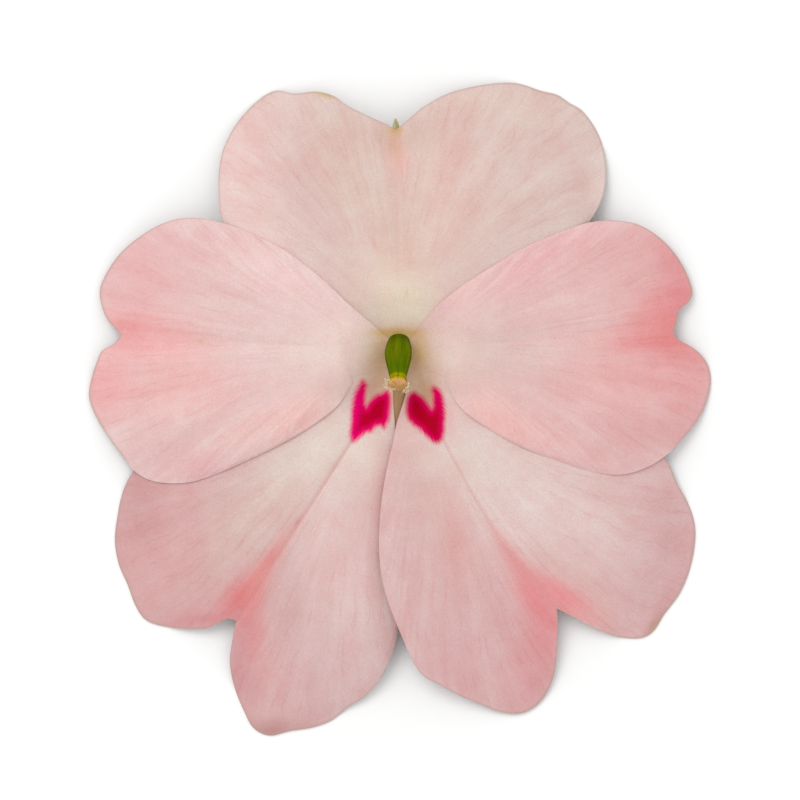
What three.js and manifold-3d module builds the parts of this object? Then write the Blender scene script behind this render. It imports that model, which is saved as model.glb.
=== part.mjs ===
// A picked impatiens bloom, lying face up on a level surface. Millimetres, +Z up, +Y towards the
// upper petal's notch, +X to the right of the face. The origin is on the surface, below the middle.
//
// The bloom has one upper petal, and two side pairs: on each side the side petal and the lower petal
// are grown together at one claw. Behind them are two small green sepals, a boat-shaped sepal drawn
// out into a long curled spur, and the flower stalk, whose swollen end carries everything. The green
// ovary leans out over the throat and ends in a pale stigma.
import * as THREE from 'three';
import { mergeVertices } from 'three/addons/utils/BufferGeometryUtils.js';
import Module from 'manifold-3d';

const wasm = await Module();
wasm.setup();

// Driving dimensions.
const PETAL_THICKNESS = 0.62;
const SEPAL_THICKNESS = 0.6;
const RIM_REACH = 4.6; // how far from its claw a petal has risen out of the throat
const RIM_CURVE = 2.2; // power of that rise, steep at first
const MARGIN_FALL = 1.7; // power of the fall from the throat's rim to the margin
const SPREAD = 0.84; // the angle from a petal's axis to its side margin, in radians
const SIDE_REACH = 25; // where a side margin's lift has its full size
const PETAL_CELLS_ACROSS = 38;
const PETAL_CELLS_ALONG = 9;
const CELL_SPREAD = 1.45; // above 1, a petal's cells are shorter near its claw
const LOBE_SPREAD = 1.25; // above 1, they are narrower at the lobes than at the side margins
const STALK_RADIUS = 0.8;
const LIE = 0.67; // height of the lying stalk's middle, which leaves a narrow flat along its underside
const KNOB_RADIUS = 1.15; // the stalk's swollen end, the receptacle
const KNOB_CENTRE = [0, 7.3, 4.2];
const CLAW_RADIUS = 0.55;
const SPUR_RADIUS = 0.7;
const SPUR_TIP_RADIUS = 0.42;
const OVARY_RADIUS = 1.32;
const OVARY_BASE = [-0.1, 7.0, 6.05];
const OVARY_TIP = [-0.22, 3.25, 8.3];
const STIGMA_LENGTH = 0.9;
const SLIVER = 0.004;

const materials = {
  petal: new THREE.MeshStandardMaterial({ color: 0xe8c8c4, roughness: 0.6, metalness: 0 }),
  spurred_sepal: new THREE.MeshStandardMaterial({ color: 0xdcbcae, roughness: 0.55, metalness: 0 }),
  green: new THREE.MeshStandardMaterial({ color: 0x9aa860, roughness: 0.5, metalness: 0 }),
  stalk: new THREE.MeshStandardMaterial({ color: 0xa9b073, roughness: 0.45, metalness: 0 }),
  ovary: new THREE.MeshStandardMaterial({ color: 0x4f7a10, roughness: 0.4, metalness: 0 }),
  stigma: new THREE.MeshStandardMaterial({ color: 0xe0bd85, roughness: 0.6, metalness: 0 }),
};

// Each petal is a fan of lines from its claw, a short line deep in the throat, to its margin, which is
// seen from straight above here. "first" runs from the claw's first end round one lobe to the notch,
// and "second" from the notch round the other lobe to the claw's second end. The petal stands at the
// height "rim" by the throat and comes down to the surface at the distance "reach"; "side" lifts or
// lowers a side margin. Each of these has one number for the first side and one for the second.
const PETALS = {
  upper: {
    claw: [[-1.4, 8.4], [1.4, 8.4]],
    clawHeight: 5.2,
    rim: [6.5, 6.5],
    reach: [27.3, 27.3],
    side: [0, 0],
    crease: 0.35,
    creaseWidth: 0.1,
    crown: 0.35,
    bow: [0, 0],
    waves: 4,
    waveHeight: 0.12,
    first: [
      [-1.9, 8.9], [-3.9, 10.5], [-9.0, 12.4], [-15.2, 16.0], [-17.6, 18.6], [-18.1, 21.0], [-17.8, 25.8],
      [-15.6, 29.7], [-12.6, 32.0], [-10.6, 31.7], [-8.4, 31.9], [-6.6, 31.4], [-5.4, 30.5], [-1.5, 28.6],
      [-0.4, 28.0],
    ],
    second: [
      [-0.4, 28.0], [0.6, 28.8], [2.2, 30.2], [5.4, 31.9], [11.4, 32.8], [14.2, 32.0], [15.8, 31.6],
      [17.0, 30.8], [18.3, 30.0], [20.0, 26.9], [20.4, 22.4], [18.6, 18.5], [14.6, 15.2], [8.6, 12.2],
      [3.9, 10.5], [1.9, 8.9],
    ],
  },
  leftSide: {
    claw: [[-1.5, 7.4], [-1.9, 4.4]],
    clawHeight: 4.9,
    rim: [8.0, 8.0],
    reach: [29.6, 30.6],
    side: [0.5, 1.6],
    crease: 0.3,
    creaseWidth: 0.12,
    crown: 0.3,
    bow: [0, 0],
    waves: 4,
    waveHeight: 0.1,
    first: [
      [-2.2, 8.3], [-5.5, 11.3], [-8.5, 13.8], [-12.0, 16.2], [-17.8, 18.7], [-21.2, 19.2], [-23.5, 18.75],
      [-26.0, 17.4], [-28.2, 15.5], [-29.7, 13.2], [-30.1, 12.0], [-29.9, 10.4], [-29.2, 8.9], [-28.3, 8.0],
      [-27.95, 7.5],
    ],
    second: [
      [-27.95, 7.5], [-28.6, 6.65], [-29.9, 5.9], [-30.4, 4.8], [-31.0, 2.9], [-31.2, 1.4], [-30.8, 0.0],
      [-29.7, -2.0], [-28.2, -4.1], [-26.7, -6.0], [-25.2, -6.95], [-23.4, -7.3], [-21.0, -7.2],
      [-18.4, -6.4], [-11.7, -3.3], [-8.5, -1.4], [-6.2, 0.3], [-5.3, 1.6], [-4.4, 3.2],
    ],
  },
  rightSide: {
    claw: [[1.5, 7.4], [1.9, 4.4]],
    clawHeight: 4.9,
    rim: [8.0, 8.0],
    reach: [29.3, 29.9],
    side: [0.6, 1.9],
    crease: 0.3,
    creaseWidth: 0.12,
    crown: 0.3,
    bow: [0, 0],
    waves: 4,
    waveHeight: 0.1,
    first: [
      [2.2, 8.3], [3.2, 10.4], [5.5, 12.3], [8.2, 14.1], [12.7, 16.5], [18.6, 18.65], [21.2, 18.95],
      [23.8, 18.55], [26.2, 17.1], [28.0, 15.0], [29.0, 13.0], [29.3, 11.8], [29.0, 10.9], [28.0, 10.05],
      [27.7, 9.0], [27.4, 7.8],
    ],
    second: [
      [27.4, 7.8], [27.8, 7.1], [29.4, 6.2], [30.6, 5.0], [31.15, 3.5], [31.0, 1.8], [30.2, -0.4],
      [28.8, -2.3], [26.8, -4.4], [24.5, -5.8], [22.0, -6.45], [19.5, -6.2], [16.0, -5.1], [12.0, -3.6],
      [8.2, -1.5], [6.2, 0.3], [5.2, 1.8], [4.4, 3.2],
    ],
  },
  leftLower: {
    claw: [[-1.9, 4.0], [-1.1, 1.8]],
    clawHeight: 4.5,
    rim: [5.9, 5.9],
    reach: [29.6, 41.2],
    side: [-1.0, -1.4],
    crease: 0.7,
    creaseWidth: 0.08,
    crown: 0.3,
    bow: [0, 0],
    waves: 5,
    waveHeight: 0.1,
    first: [
      [-3.6, 3.3], [-10.0, 1.0], [-16.0, -0.7], [-21.5, -2.5], [-25.0, -4.3], [-26.7, -6.1], [-27.8, -8.2],
      [-28.4, -11.0], [-28.6, -13.2], [-28.2, -15.5], [-27.3, -17.6], [-26.6, -19.5], [-25.8, -20.8],
      [-25.1, -21.3], [-23.4, -21.75], [-21.0, -21.95], [-19.2, -21.8], [-17.1, -20.85], [-16.4, -21.1],
    ],
    second: [
      [-16.4, -21.1], [-16.7, -22.6], [-17.05, -25.2], [-16.6, -27.8], [-15.7, -30.1], [-14.7, -31.9],
      [-13.2, -32.65], [-11.0, -32.2], [-8.8, -31.85], [-6.8, -31.1], [-5.1, -29.7], [-3.8, -28.95],
      [-2.2, -27.2], [-0.9, -24.7], [-0.2, -22.0], [0.0, -19.0], [-0.2, -15.0], [-0.4, -10.0],
      [-0.4, -5.5], [-0.6, -2.0], [-1.0, 0.7],
    ],
  },
  rightLower: {
    claw: [[1.9, 4.0], [1.1, 1.8]],
    clawHeight: 4.6,
    rim: [5.9, 7.1],
    reach: [32.4, 37.4],
    side: [-1.1, 0.9],
    crease: 0.7,
    creaseWidth: 0.08,
    crown: 0.3,
    bow: [-0.95, -0.7],
    waves: 5,
    waveHeight: 0.1,
    first: [
      [3.6, 3.3], [10.0, 1.2], [16.0, -0.2], [21.5, -2.0], [25.0, -3.5], [26.7, -5.0], [27.8, -7.4],
      [29.0, -9.6], [29.6, -11.7], [29.5, -14.0], [28.9, -16.5], [28.0, -18.5], [26.5, -20.5],
      [25.4, -22.2], [24.3, -22.85], [22.2, -22.8], [19.6, -21.9], [17.3, -20.7], [15.7, -19.85],
    ],
    second: [
      [15.7, -19.85], [15.8, -21.5], [15.75, -23.8], [15.5, -26.2], [14.8, -28.2], [13.5, -29.8],
      [11.9, -30.45], [9.8, -30.2], [8.1, -29.5], [6.0, -28.6], [3.8, -27.4], [2.4, -26.65], [1.1, -24.8],
      [0.4, -23.1], [-0.2, -21.7], [-1.2, -19.1], [-1.85, -16.5], [-2.1, -13.5], [-1.95, -10.0],
      [-1.5, -6.8], [-0.8, -3.7], [-0.3, -1.5], [0.3, 0.3], [0.8, 1.2],
    ],
  },
};

function smooth(t) {
  const c = Math.min(1, Math.max(0, t));
  return c * c * (3 - 2 * c);
}

// How much of the way out of the throat a petal has come.
function opening(t) {
  return 1 - (1 - Math.min(1, t)) ** RIM_CURVE;
}

// The height of a petal's middle surface over a point of the plan. "turn" is -1 at the first side
// margin, 0 towards the notch and 1 at the second side margin.
function petalHeight(petal) {
  const [a, b] = petal.claw;
  const centre = [(a[0] + b[0]) / 2, (a[1] + b[1]) / 2];
  const notch = petal.second[0];
  const axis = Math.atan2(notch[1] - centre[1], notch[0] - centre[0]);
  const across = [b[0] - a[0], b[1] - a[1]];
  const handed = Math.sign(Math.cos(axis) * across[1] - Math.sin(axis) * across[0]);
  return (x, y) => {
    const distance = Math.hypot(x - centre[0], y - centre[1]);
    const angle = Math.atan2(y - centre[1], x - centre[0]) - axis;
    const wrapped = Math.atan2(Math.sin(angle), Math.cos(angle));
    const turn = Math.max(-1, Math.min(1, (handed * wrapped) / SPREAD));
    const mix = ([first, second]) => first + ((second - first) * (turn + 1)) / 2;
    const side = petal.side[turn < 0 ? 0 : 1];
    return (
      mix(petal.rim) * (1 - (distance / mix(petal.reach)) ** MARGIN_FALL) +
      side * (Math.abs(turn) * (distance / SIDE_REACH)) ** 1.5
    );
  };
}

// The point of a petal's middle surface at s (-1 to 1 round the margin, 0 at the notch) and
// rho (0 at the claw, 1 at the margin).
function petalSurface(petal) {
  const curve = (points) =>
    new THREE.CatmullRomCurve3(points.map(([x, y]) => new THREE.Vector3(x, y, 0)), false, 'centripetal');
  const first = curve(petal.first);
  const second = curve(petal.second);
  const height = petalHeight(petal);
  const [a, b] = petal.claw;
  return (s, rho) => {
    const edge = s < 0 ? first.getPointAt(1 + s) : second.getPointAt(s);
    const t = (s + 1) / 2;
    const root = new THREE.Vector2(a[0] + (b[0] - a[0]) * t, a[1] + (b[1] - a[1]) * t);
    const reach = Math.hypot(edge.x - root.x, edge.y - root.y);
    const bend = 4 * rho * (1 - rho) * (1 - s * s) ** 2;
    const x = root.x + (edge.x - root.x) * rho + petal.bow[0] * bend;
    const y = root.y + (edge.y - root.y) * rho + petal.bow[1] * bend;
    const arch = 4 * rho * (1 - rho);
    const z =
      petal.clawHeight +
      (height(x, y) - petal.clawHeight) * opening((rho * reach) / RIM_REACH) -
      petal.crease * Math.exp(-Math.abs(s) / petal.creaseWidth) * 2.6 * rho * (1 - rho * rho) +
      petal.crown * Math.sin(Math.PI * Math.abs(s)) * arch +
      petal.waveHeight * Math.sin(petal.waves * Math.PI * s) * rho ** 3 * arch;
    return new THREE.Vector3(x, y, z);
  };
}

// A closed blade round a middle surface, given as a grid of points. extraBelow thickens it underneath.
// What would reach below the surface that the bloom lies on is lifted onto it, which leaves the
// small flat spots that the petals rest on.
function blade(surface, across, along, thickness, extraBelow = () => 0) {
  const columns = across + 1;
  const rows = along + 1;
  const rowAt = (j) => (j / along) ** CELL_SPREAD;
  const columnAt = (i) => {
    const u = (2 * i) / across - 1;
    return Math.sign(u) * Math.abs(u) ** LOBE_SPREAD;
  };
  const middle = [];
  for (let j = 0; j < rows; j++)
    for (let i = 0; i < columns; i++) middle.push(surface(columnAt(i), rowAt(j)));
  const at = (i, j) =>
    middle[Math.min(rows - 1, Math.max(0, j)) * columns + Math.min(columns - 1, Math.max(0, i))];
  const top = [];
  const bottom = [];
  for (let j = 0; j < rows; j++)
    for (let i = 0; i < columns; i++) {
      const u = at(i + 1, j).clone().sub(at(i - 1, j));
      const v = at(i, j + 1).clone().sub(at(i, j - 1));
      const normal = u.cross(v).normalize();
      if (normal.z < 0) normal.negate();
      const p = at(i, j);
      const low = p.clone().addScaledVector(normal, -thickness / 2);
      const high = p.clone().addScaledVector(normal, thickness / 2);
      low.z -= extraBelow(columnAt(i), rowAt(j));
      const lift = Math.max(0, -low.z);
      low.z += lift;
      high.z += lift;
      top.push(high);
      bottom.push(low);
    }
  const positions = [...top, ...bottom].flatMap((p) => [p.x, p.y, p.z]);
  const n = top.length;
  const faces = [];
  for (let j = 0; j < along; j++)
    for (let i = 0; i < across; i++) {
      const a = j * columns + i;
      const b = a + 1;
      const c = a + columns;
      const d = c + 1;
      faces.push(a, b, d, a, d, c, n + a, n + d, n + b, n + a, n + c, n + d);
    }
  const wall = (a, b) => faces.push(a, n + a, n + b, a, n + b, b);
  for (let i = 0; i < across; i++) {
    wall(i, i + 1);
    wall(along * columns + i + 1, along * columns + i);
  }
  for (let j = 0; j < along; j++) {
    wall((j + 1) * columns, j * columns);
    wall(j * columns + across, (j + 1) * columns + across);
  }
  return geometryOf(positions, faces);
}

// A closed skin over a row of rings, each a list of the same number of points.
function loft(rings) {
  const sides = rings[0].length;
  const positions = rings.flat().flatMap((p) => [p.x, p.y, p.z]);
  const faces = [];
  for (let r = 0; r + 1 < rings.length; r++)
    for (let k = 0; k < sides; k++) {
      const a = r * sides + k;
      const b = r * sides + ((k + 1) % sides);
      faces.push(a, b, b + sides, a, b + sides, a + sides);
    }
  const last = (rings.length - 1) * sides;
  for (let k = 1; k + 1 < sides; k++) faces.push(0, k + 1, k, last, last + k, last + k + 1);
  return geometryOf(positions, faces);
}

// Positions and faces as a geometry whose faces point out.
function geometryOf(positions, faces) {
  const corner = (i) => new THREE.Vector3().fromArray(positions, 3 * i);
  let volume = 0;
  for (let f = 0; f < faces.length; f += 3)
    volume += corner(faces[f]).dot(corner(faces[f + 1]).cross(corner(faces[f + 2])));
  if (volume < 0)
    for (let f = 0; f < faces.length; f += 3) [faces[f + 1], faces[f + 2]] = [faces[f + 2], faces[f + 1]];
  const geometry = new THREE.BufferGeometry();
  geometry.setAttribute('position', new THREE.Float32BufferAttribute(positions, 3));
  geometry.setIndex(faces);
  return geometry;
}

// A ring of points round a centre, in the plane of u and v; radius may depend on the angle.
function ring(centre, u, v, sides, radius) {
  return Array.from({ length: sides }, (_, k) => {
    const angle = (2 * Math.PI * k) / sides;
    const r = typeof radius === 'function' ? radius(angle) : radius;
    return centre
      .clone()
      .addScaledVector(u, r * Math.cos(angle))
      .addScaledVector(v, r * Math.sin(angle));
  });
}

// Two directions square to an axis and to each other.
function across(axis) {
  const side = new THREE.Vector3(1, 0, 0);
  const u = side.addScaledVector(axis, -side.dot(axis)).normalize();
  return [u, axis.clone().cross(u)];
}

// Rings along a curve through the points, of the radius given at each share of its length.
function ringsAlong(points, steps, sides, radiusAt) {
  const curve = new THREE.CatmullRomCurve3(points.map((p) => new THREE.Vector3(...p)), false, 'centripetal');
  const frames = curve.computeFrenetFrames(steps, false);
  return Array.from({ length: steps + 1 }, (_, k) => {
    const t = k / steps;
    return ring(curve.getPointAt(t), frames.normals[k], frames.binormals[k], sides, radiusAt(t));
  });
}

function solidOf(geometry) {
  const plain = geometry.clone();
  plain.deleteAttribute('normal');
  plain.deleteAttribute('uv');
  const merged = mergeVertices(plain, 1e-4);
  return new wasm.Manifold(
    new wasm.Mesh({
      numProp: 3,
      vertProperties: new Float32Array(merged.attributes.position.array),
      triVerts: new Uint32Array(merged.index.array),
    }),
  );
}

// Geometries as one closed body, without the slivers that a join leaves.
function joined(...geometries) {
  const whole = geometries.map(solidOf).reduce((sum, solid) => sum.add(solid)).simplify(SLIVER);
  const mesh = whole.getMesh();
  const geometry = new THREE.BufferGeometry();
  const position = new Float32Array(mesh.numVert * 3);
  for (let i = 0; i < mesh.numVert; i++)
    position.set(mesh.vertProperties.subarray(i * mesh.numProp, i * mesh.numProp + 3), 3 * i);
  geometry.setAttribute('position', new THREE.BufferAttribute(position, 3));
  geometry.setIndex(new THREE.BufferAttribute(new Uint32Array(mesh.triVerts), 1));
  return geometry;
}

function petalBlade(petal, extraBelow) {
  return blade(petalSurface(petal), PETAL_CELLS_ACROSS, PETAL_CELLS_ALONG, PETAL_THICKNESS, extraBelow);
}

// The upper petal carries a keel along the back of its middle, which ends in a little horn past the notch.
function upperPetal() {
  const keelDepth = 0.7;
  const keelWidth = 0.05;
  const keel = (s, rho) => keelDepth * Math.exp(-((s / keelWidth) ** 2)) * smooth((rho - 0.15) / 0.5);
  const hornPath = [[-0.4, 26.4, 2.6], [-0.42, 27.6, 2.35], [-0.45, 29.1, 2.5]];
  const hornRings = ringsAlong(hornPath, 5, 8, (t) => 0.5 - 0.4 * t);
  return joined(petalBlade(PETALS.upper, keel), loft(hornRings));
}

// One side's two petals, grown together at a thick claw that reaches the end of the stalk.
function petalPair(side, lower, mirror) {
  const clawPath = [
    [2.05, 7.3, 4.5], [2.15, 6.0, 4.8], [2.1, 4.4, 4.8], [1.7, 2.9, 4.7], [1.1, 1.8, 4.65],
  ].map(([x, y, z]) => [mirror * x, y, z]);
  const claw = loft(ringsAlong(clawPath, 8, 8, () => CLAW_RADIUS));
  return joined(petalBlade(side), petalBlade(lower), claw);
}

// A small pointed green sepal, spread behind the side petals from a broad base by the stalk's knob.
function sideSepal(mirror) {
  const length = 7.2;
  const baseHalfWidth = 0.75;
  const bellyHalfWidth = 1.6;
  const surface = (s, rho) => {
    const taper = (1 - rho) ** 0.7;
    const belly = Math.sin(Math.PI * Math.min(1, rho + 0.08));
    const width = 0.12 + (baseHalfWidth * (1 - rho) ** 2 + bellyHalfWidth * belly) * taper;
    const out = 1.26 + length * rho;
    const along = 7.55 + 2.3 * rho;
    const height = 3.1 + 1.5 * smooth(rho) - 0.35 * s * s * Math.sin(Math.PI * rho);
    return new THREE.Vector3(mirror * out, along + s * width, height);
  };
  return blade(surface, 8, 12, SEPAL_THICKNESS);
}

// The boat-shaped sepal: its inner skin rises from the bottom to the rim, and its outer skin goes
// back down and on along the spur, as one loft.
function spurredSepal() {
  const sides = 20;
  const halfWidth = 3.3;
  const halfLength = 4.2;
  const rimCentre = new THREE.Vector3(0, 1.85, 3.6);
  const rimTilt = -0.06; // height per length: the rim is higher at the front, away from the stalk
  const wall = 0.6;
  const depth = 2.25;
  const squareBack = 0.7; // the rim's back, by the stalk, is squarer than an ellipse
  const boatRing = (share, inset, lift) =>
    Array.from({ length: sides }, (_, k) => {
      const angle = (2 * Math.PI * k) / sides;
      const power = Math.sin(angle) > 0 ? squareBack : 1;
      const cosine = Math.sign(Math.cos(angle)) * Math.abs(Math.cos(angle)) ** power;
      const sine = Math.sign(Math.sin(angle)) * Math.abs(Math.sin(angle)) ** power;
      const spread = Math.sqrt(Math.max(0, 1 - share * share));
      const y = (halfLength - inset) * spread * sine;
      return new THREE.Vector3(
        rimCentre.x + (halfWidth - inset) * spread * cosine,
        rimCentre.y + y - 0.5 * share,
        rimCentre.z + rimTilt * y * (1 - share) - (depth - inset) * share + lift,
      );
    });
  const inner = [0.985, 0.9, 0.72, 0.45, 0.2, 0].map((share) => boatRing(share, wall, 0));
  const outer = [0, 0.2, 0.45, 0.7, 0.86].map((share) => boatRing(share, 0, 0));
  const path = [
    [0.0, 0.6, 1.35], [-0.1, -0.9, 0.85], [-0.6, -4.0, 0.66], [-2.2, -9.2, 0.6], [-5.5, -14.2, 0.56],
    [-10.6, -16.8, 0.52], [-15.8, -15.4, 0.47], [-18.6, -11.0, 0.43], [-18.2, -6.2, 0.4], [-15.2, -3.4, 0.4],
  ];
  const taper = SPUR_RADIUS - SPUR_TIP_RADIUS;
  const bulb = 0.1; // the spur's end is a little thicker
  const radiusAt = (t) =>
    SPUR_TIP_RADIUS + taper * (1 - smooth(t * 1.1)) + bulb * smooth((t - 0.9) / 0.08);
  const boat = loft([...inner, ...outer]);
  const spurSteps = 30;
  const rings = ringsAlong(path, spurSteps, 10, radiusAt);
  rings.forEach((points) => points.forEach((p) => (p.z = Math.max(p.z, 0))));
  return joined(boat, loft(rings));
}

// The flower stalk lies along the surface and turns up into the knob that carries the bloom.
function stalk() {
  const path = [
    [-1.2, 25.6, LIE], [-1.1, 21.0, LIE], [-0.7, 15.5, LIE], [-0.2, 11.4, 0.9], [0, 9.0, 1.7],
    [0, 7.7, 3.0], KNOB_CENTRE,
  ];
  const radiusAt = (t) => STALK_RADIUS + 0.12 * (1 - smooth(t / 0.06));
  const rings = ringsAlong(path, 26, 12, radiusAt);
  rings.forEach((points) => points.forEach((p) => (p.z = Math.max(p.z, 0))));
  const knob = new THREE.SphereGeometry(KNOB_RADIUS, 16, 10);
  knob.rotateX(Math.PI / 2);
  knob.scale(1, 1, 0.85);
  knob.translate(...KNOB_CENTRE);
  return joined(loft(rings), knob);
}

// The ovary: a spindle with five blunt ribs, from its base in the throat to the stigma.
function ovary() {
  const base = new THREE.Vector3(...OVARY_BASE);
  const tip = new THREE.Vector3(...OVARY_TIP);
  const axis = tip.clone().sub(base);
  const profile = [
    [0, 0.62], [0.04, 0.72], [0.16, 0.9], [0.34, 1], [0.5, 0.97], [0.68, 0.84], [0.85, 0.68], [1, 0.58],
  ];
  const ribs = 5;
  const [u, v] = across(axis.clone().normalize());
  const rings = profile.map(([t, share]) =>
    ring(base.clone().addScaledVector(axis, t), u, v, 20, (angle) =>
      OVARY_RADIUS * share * (1 + 0.05 * Math.cos(ribs * angle))),
  );
  return loft(rings);
}

// The stigma: a short collar on the ovary's tip, with five small spreading teeth.
function stigma() {
  const tip = new THREE.Vector3(...OVARY_TIP);
  const axis = tip.clone().sub(new THREE.Vector3(...OVARY_BASE)).normalize();
  const [u, v] = across(axis);
  const start = tip.clone().addScaledVector(axis, 0.3);
  const collar = loft(
    [[0, 0.72], [0.4, 0.8], [0.75, 0.92], [1, 0.8]].map(([t, radius]) =>
      ring(start.clone().addScaledVector(axis, t * STIGMA_LENGTH), u, v, 15, radius)),
  );
  const teeth = 5;
  const toothLength = 0.42;
  const crown = start.clone().addScaledVector(axis, 0.72 * STIGMA_LENGTH);
  const made = ring(crown, u, v, teeth, 0.7).map((point) => {
    const out = point.clone().sub(crown).normalize().addScaledVector(axis, 0.5).normalize();
    const [p, q] = across(out);
    return loft([0, 0.5, 1].map((t) =>
      ring(point.clone().addScaledVector(out, t * toothLength), p, q, 6, 0.27 - 0.12 * t)));
  });
  return joined(collar, ...made);
}

const bloom = new THREE.Group();

function add(name, geometry, material) {
  const mesh = new THREE.Mesh(geometry, material);
  mesh.name = name;
  bloom.add(mesh);
}

add('upper_petal', upperPetal(), materials.petal);
add('left_petal_pair', petalPair(PETALS.leftSide, PETALS.leftLower, -1), materials.petal);
add('right_petal_pair', petalPair(PETALS.rightSide, PETALS.rightLower, 1), materials.petal);
add('spurred_sepal', spurredSepal(), materials.spurred_sepal);
add('left_sepal', sideSepal(-1), materials.green);
add('right_sepal', sideSepal(1), materials.green);
add('flower_stalk', stalk(), materials.stalk);
add('ovary', ovary(), materials.ovary);
add('stigma', stigma(), materials.stigma);

export default bloom;
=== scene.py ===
# %% [markdown]
# # A picked impatiens bloom
#
# The bloom lies face up on a pale table, and the camera looks straight down on it. It has one upper
# petal, and on each side a side petal and a lower petal that are grown together. In the throat stands
# the green ovary with its pale stigma. Behind the face are two small green sepals, a boat-shaped sepal
# that runs out into a long thin spur, and the flower stalk.
#
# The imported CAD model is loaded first. It fixes where every part is and how big it is. Each soft
# part is then made again below, as a finer surface in the same place.

import bpy
import numpy as np
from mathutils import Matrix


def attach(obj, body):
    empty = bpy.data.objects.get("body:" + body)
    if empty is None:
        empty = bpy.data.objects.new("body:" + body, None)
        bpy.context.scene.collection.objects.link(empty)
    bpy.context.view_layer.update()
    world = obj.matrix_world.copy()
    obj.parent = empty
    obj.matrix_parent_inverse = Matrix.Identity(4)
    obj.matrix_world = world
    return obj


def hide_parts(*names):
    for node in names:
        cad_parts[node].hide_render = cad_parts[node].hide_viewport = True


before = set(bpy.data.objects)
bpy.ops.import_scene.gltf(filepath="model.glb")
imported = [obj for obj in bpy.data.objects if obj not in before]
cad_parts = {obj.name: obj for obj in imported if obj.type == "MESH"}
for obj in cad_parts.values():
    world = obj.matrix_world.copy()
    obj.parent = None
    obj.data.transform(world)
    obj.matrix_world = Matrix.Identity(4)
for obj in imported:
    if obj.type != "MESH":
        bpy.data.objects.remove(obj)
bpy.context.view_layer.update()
MM = 0.001
SURFACE_SEED = 7
print("nodes:", ", ".join(sorted(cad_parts)))

# %% [markdown]
# ## Colour
#
# Colours are written as sRGB hex values, as a colour picker gives them. Blender computes light with
# linear values, so one function turns the one into the other. Mixing is done before that step, in
# sRGB, because there an even mix also looks even.

# %% Colours from hex values
def shade(hex_colour):
    """The three sRGB parts of a hex colour, from 0 to 1."""
    return np.array([int(hex_colour[i:i + 2], 16) for i in (1, 3, 5)]) / 255


def linear(colour):
    """sRGB to linear light: a straight line near black, and the power 2.4 above it."""
    colour = shade(colour) if isinstance(colour, str) else np.asarray(colour, float)
    return np.where(colour <= 0.04045, colour / 12.92, ((colour + 0.055) / 1.055) ** 2.4)


def rgba(hex_colour):
    """A linear colour with full alpha, for a node's socket."""
    return (*linear(hex_colour), 1.0)


print("blush in linear light:", linear("#e5c3bf").round(3))

# %% [markdown]
# ## Materials from nodes
#
# A material is a small net of nodes whose links carry colours and numbers. It could be put together
# by hand in the shader editor. Here one function adds a node, sets it up and links it at once, so
# that each finish below reads from top to bottom.

# %% Nodes for every material
def add(tree, kind, sockets=None, **settings):
    """Adds one node: settings are its properties, and each socket gets a link or a value."""
    node = tree.nodes.new(kind)
    for name, value in settings.items():
        setattr(node, name, value)
    for key, value in (sockets or {}).items():
        if isinstance(value, bpy.types.NodeSocket):
            tree.links.new(value, node.inputs[key])
        else:
            node.inputs[key].default_value = value
    return node


def new_material(name):
    """An empty material with its output node. Returns the material, its tree and the output."""
    material = bpy.data.materials.new(name)
    material.use_nodes = True
    material.node_tree.nodes.clear()
    return material, material.node_tree, add(material.node_tree, "ShaderNodeOutputMaterial")


# %% [markdown]
# ## Camera
#
# The bloom was seen from straight above, so the camera has no tilt. A short lens close by would show
# the raised throat too large beside the petals' tips. A long lens far away keeps their proportions.

# %% Camera
VIEW_WIDTH = 80.0  # millimetres across the picture, at the petals' height
VIEW_MIDDLE_Y = 1.0
PETAL_LEVEL = 2.0
CAMERA_DISTANCE = 600.0
SENSOR = 36.0
camera_data = bpy.data.cameras.new("camera")
camera_data.sensor_width = SENSOR
camera_data.lens = SENSOR * CAMERA_DISTANCE / VIEW_WIDTH
camera_data.clip_start = 0.01
camera = bpy.data.objects.new("camera", camera_data)
camera.location = (0, VIEW_MIDDLE_Y * MM, (PETAL_LEVEL + CAMERA_DISTANCE) * MM)
bpy.context.scene.collection.objects.link(camera)
bpy.context.scene.camera = camera
bpy.context.scene.view_settings.view_transform = "Standard"
print("lens:", round(camera_data.lens, 1), "mm")

# %% [markdown]
# ## Table
#
# Something has to carry the bloom and catch its faint shadow. A sheet of matt white laminate does so
# and adds no colour of its own. It is nearly white, with a very faint cloudiness. One large square is
# enough, because its edges are out of view.

# %% Table
table_mat, tree, out = new_material("matt_white_laminate")
place = add(tree, "ShaderNodeTexCoord").outputs["Object"]
cloud = add(tree, "ShaderNodeTexNoise", {"Vector": place, "Scale": 40.0, "Detail": 2.0})
white = add(tree, "ShaderNodeMix", {"Factor": cloud.outputs[0], "A": rgba("#f8f8f7"),
                                    "B": rgba("#fbfbfb")}, data_type="RGBA")
surface = add(tree, "ShaderNodeBsdfPrincipled", {"Base Color": white.outputs["Result"],
                                                 "Roughness": 0.8, "Specular IOR Level": 0.2})
tree.links.new(surface.outputs[0], out.inputs["Surface"])

TABLE_HALF = 3.0  # metres from its middle to an edge
TABLE_DROP = -2e-5  # a hair below the bloom, so that the two never share a plane
corners = [(x * TABLE_HALF, y * TABLE_HALF, TABLE_DROP) for x, y in ((-1, -1), (1, -1), (1, 1), (-1, 1))]
table_mesh = bpy.data.meshes.new("table")
table_mesh.from_pydata(corners, [], [(0, 1, 2, 3)])
table = bpy.data.objects.new("table", table_mesh)
table_mesh.materials.append(table_mat)
bpy.context.scene.collection.objects.link(table)
print("table laid")

# %% [markdown]
# ## Light
#
# The light is that of a white studio: a pale sky from all sides, and one soft lamp up to the left. A
# small lamp would draw hard dark edges. A disk half a metre wide puts only a faint shade under each
# petal that lies on another.

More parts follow.
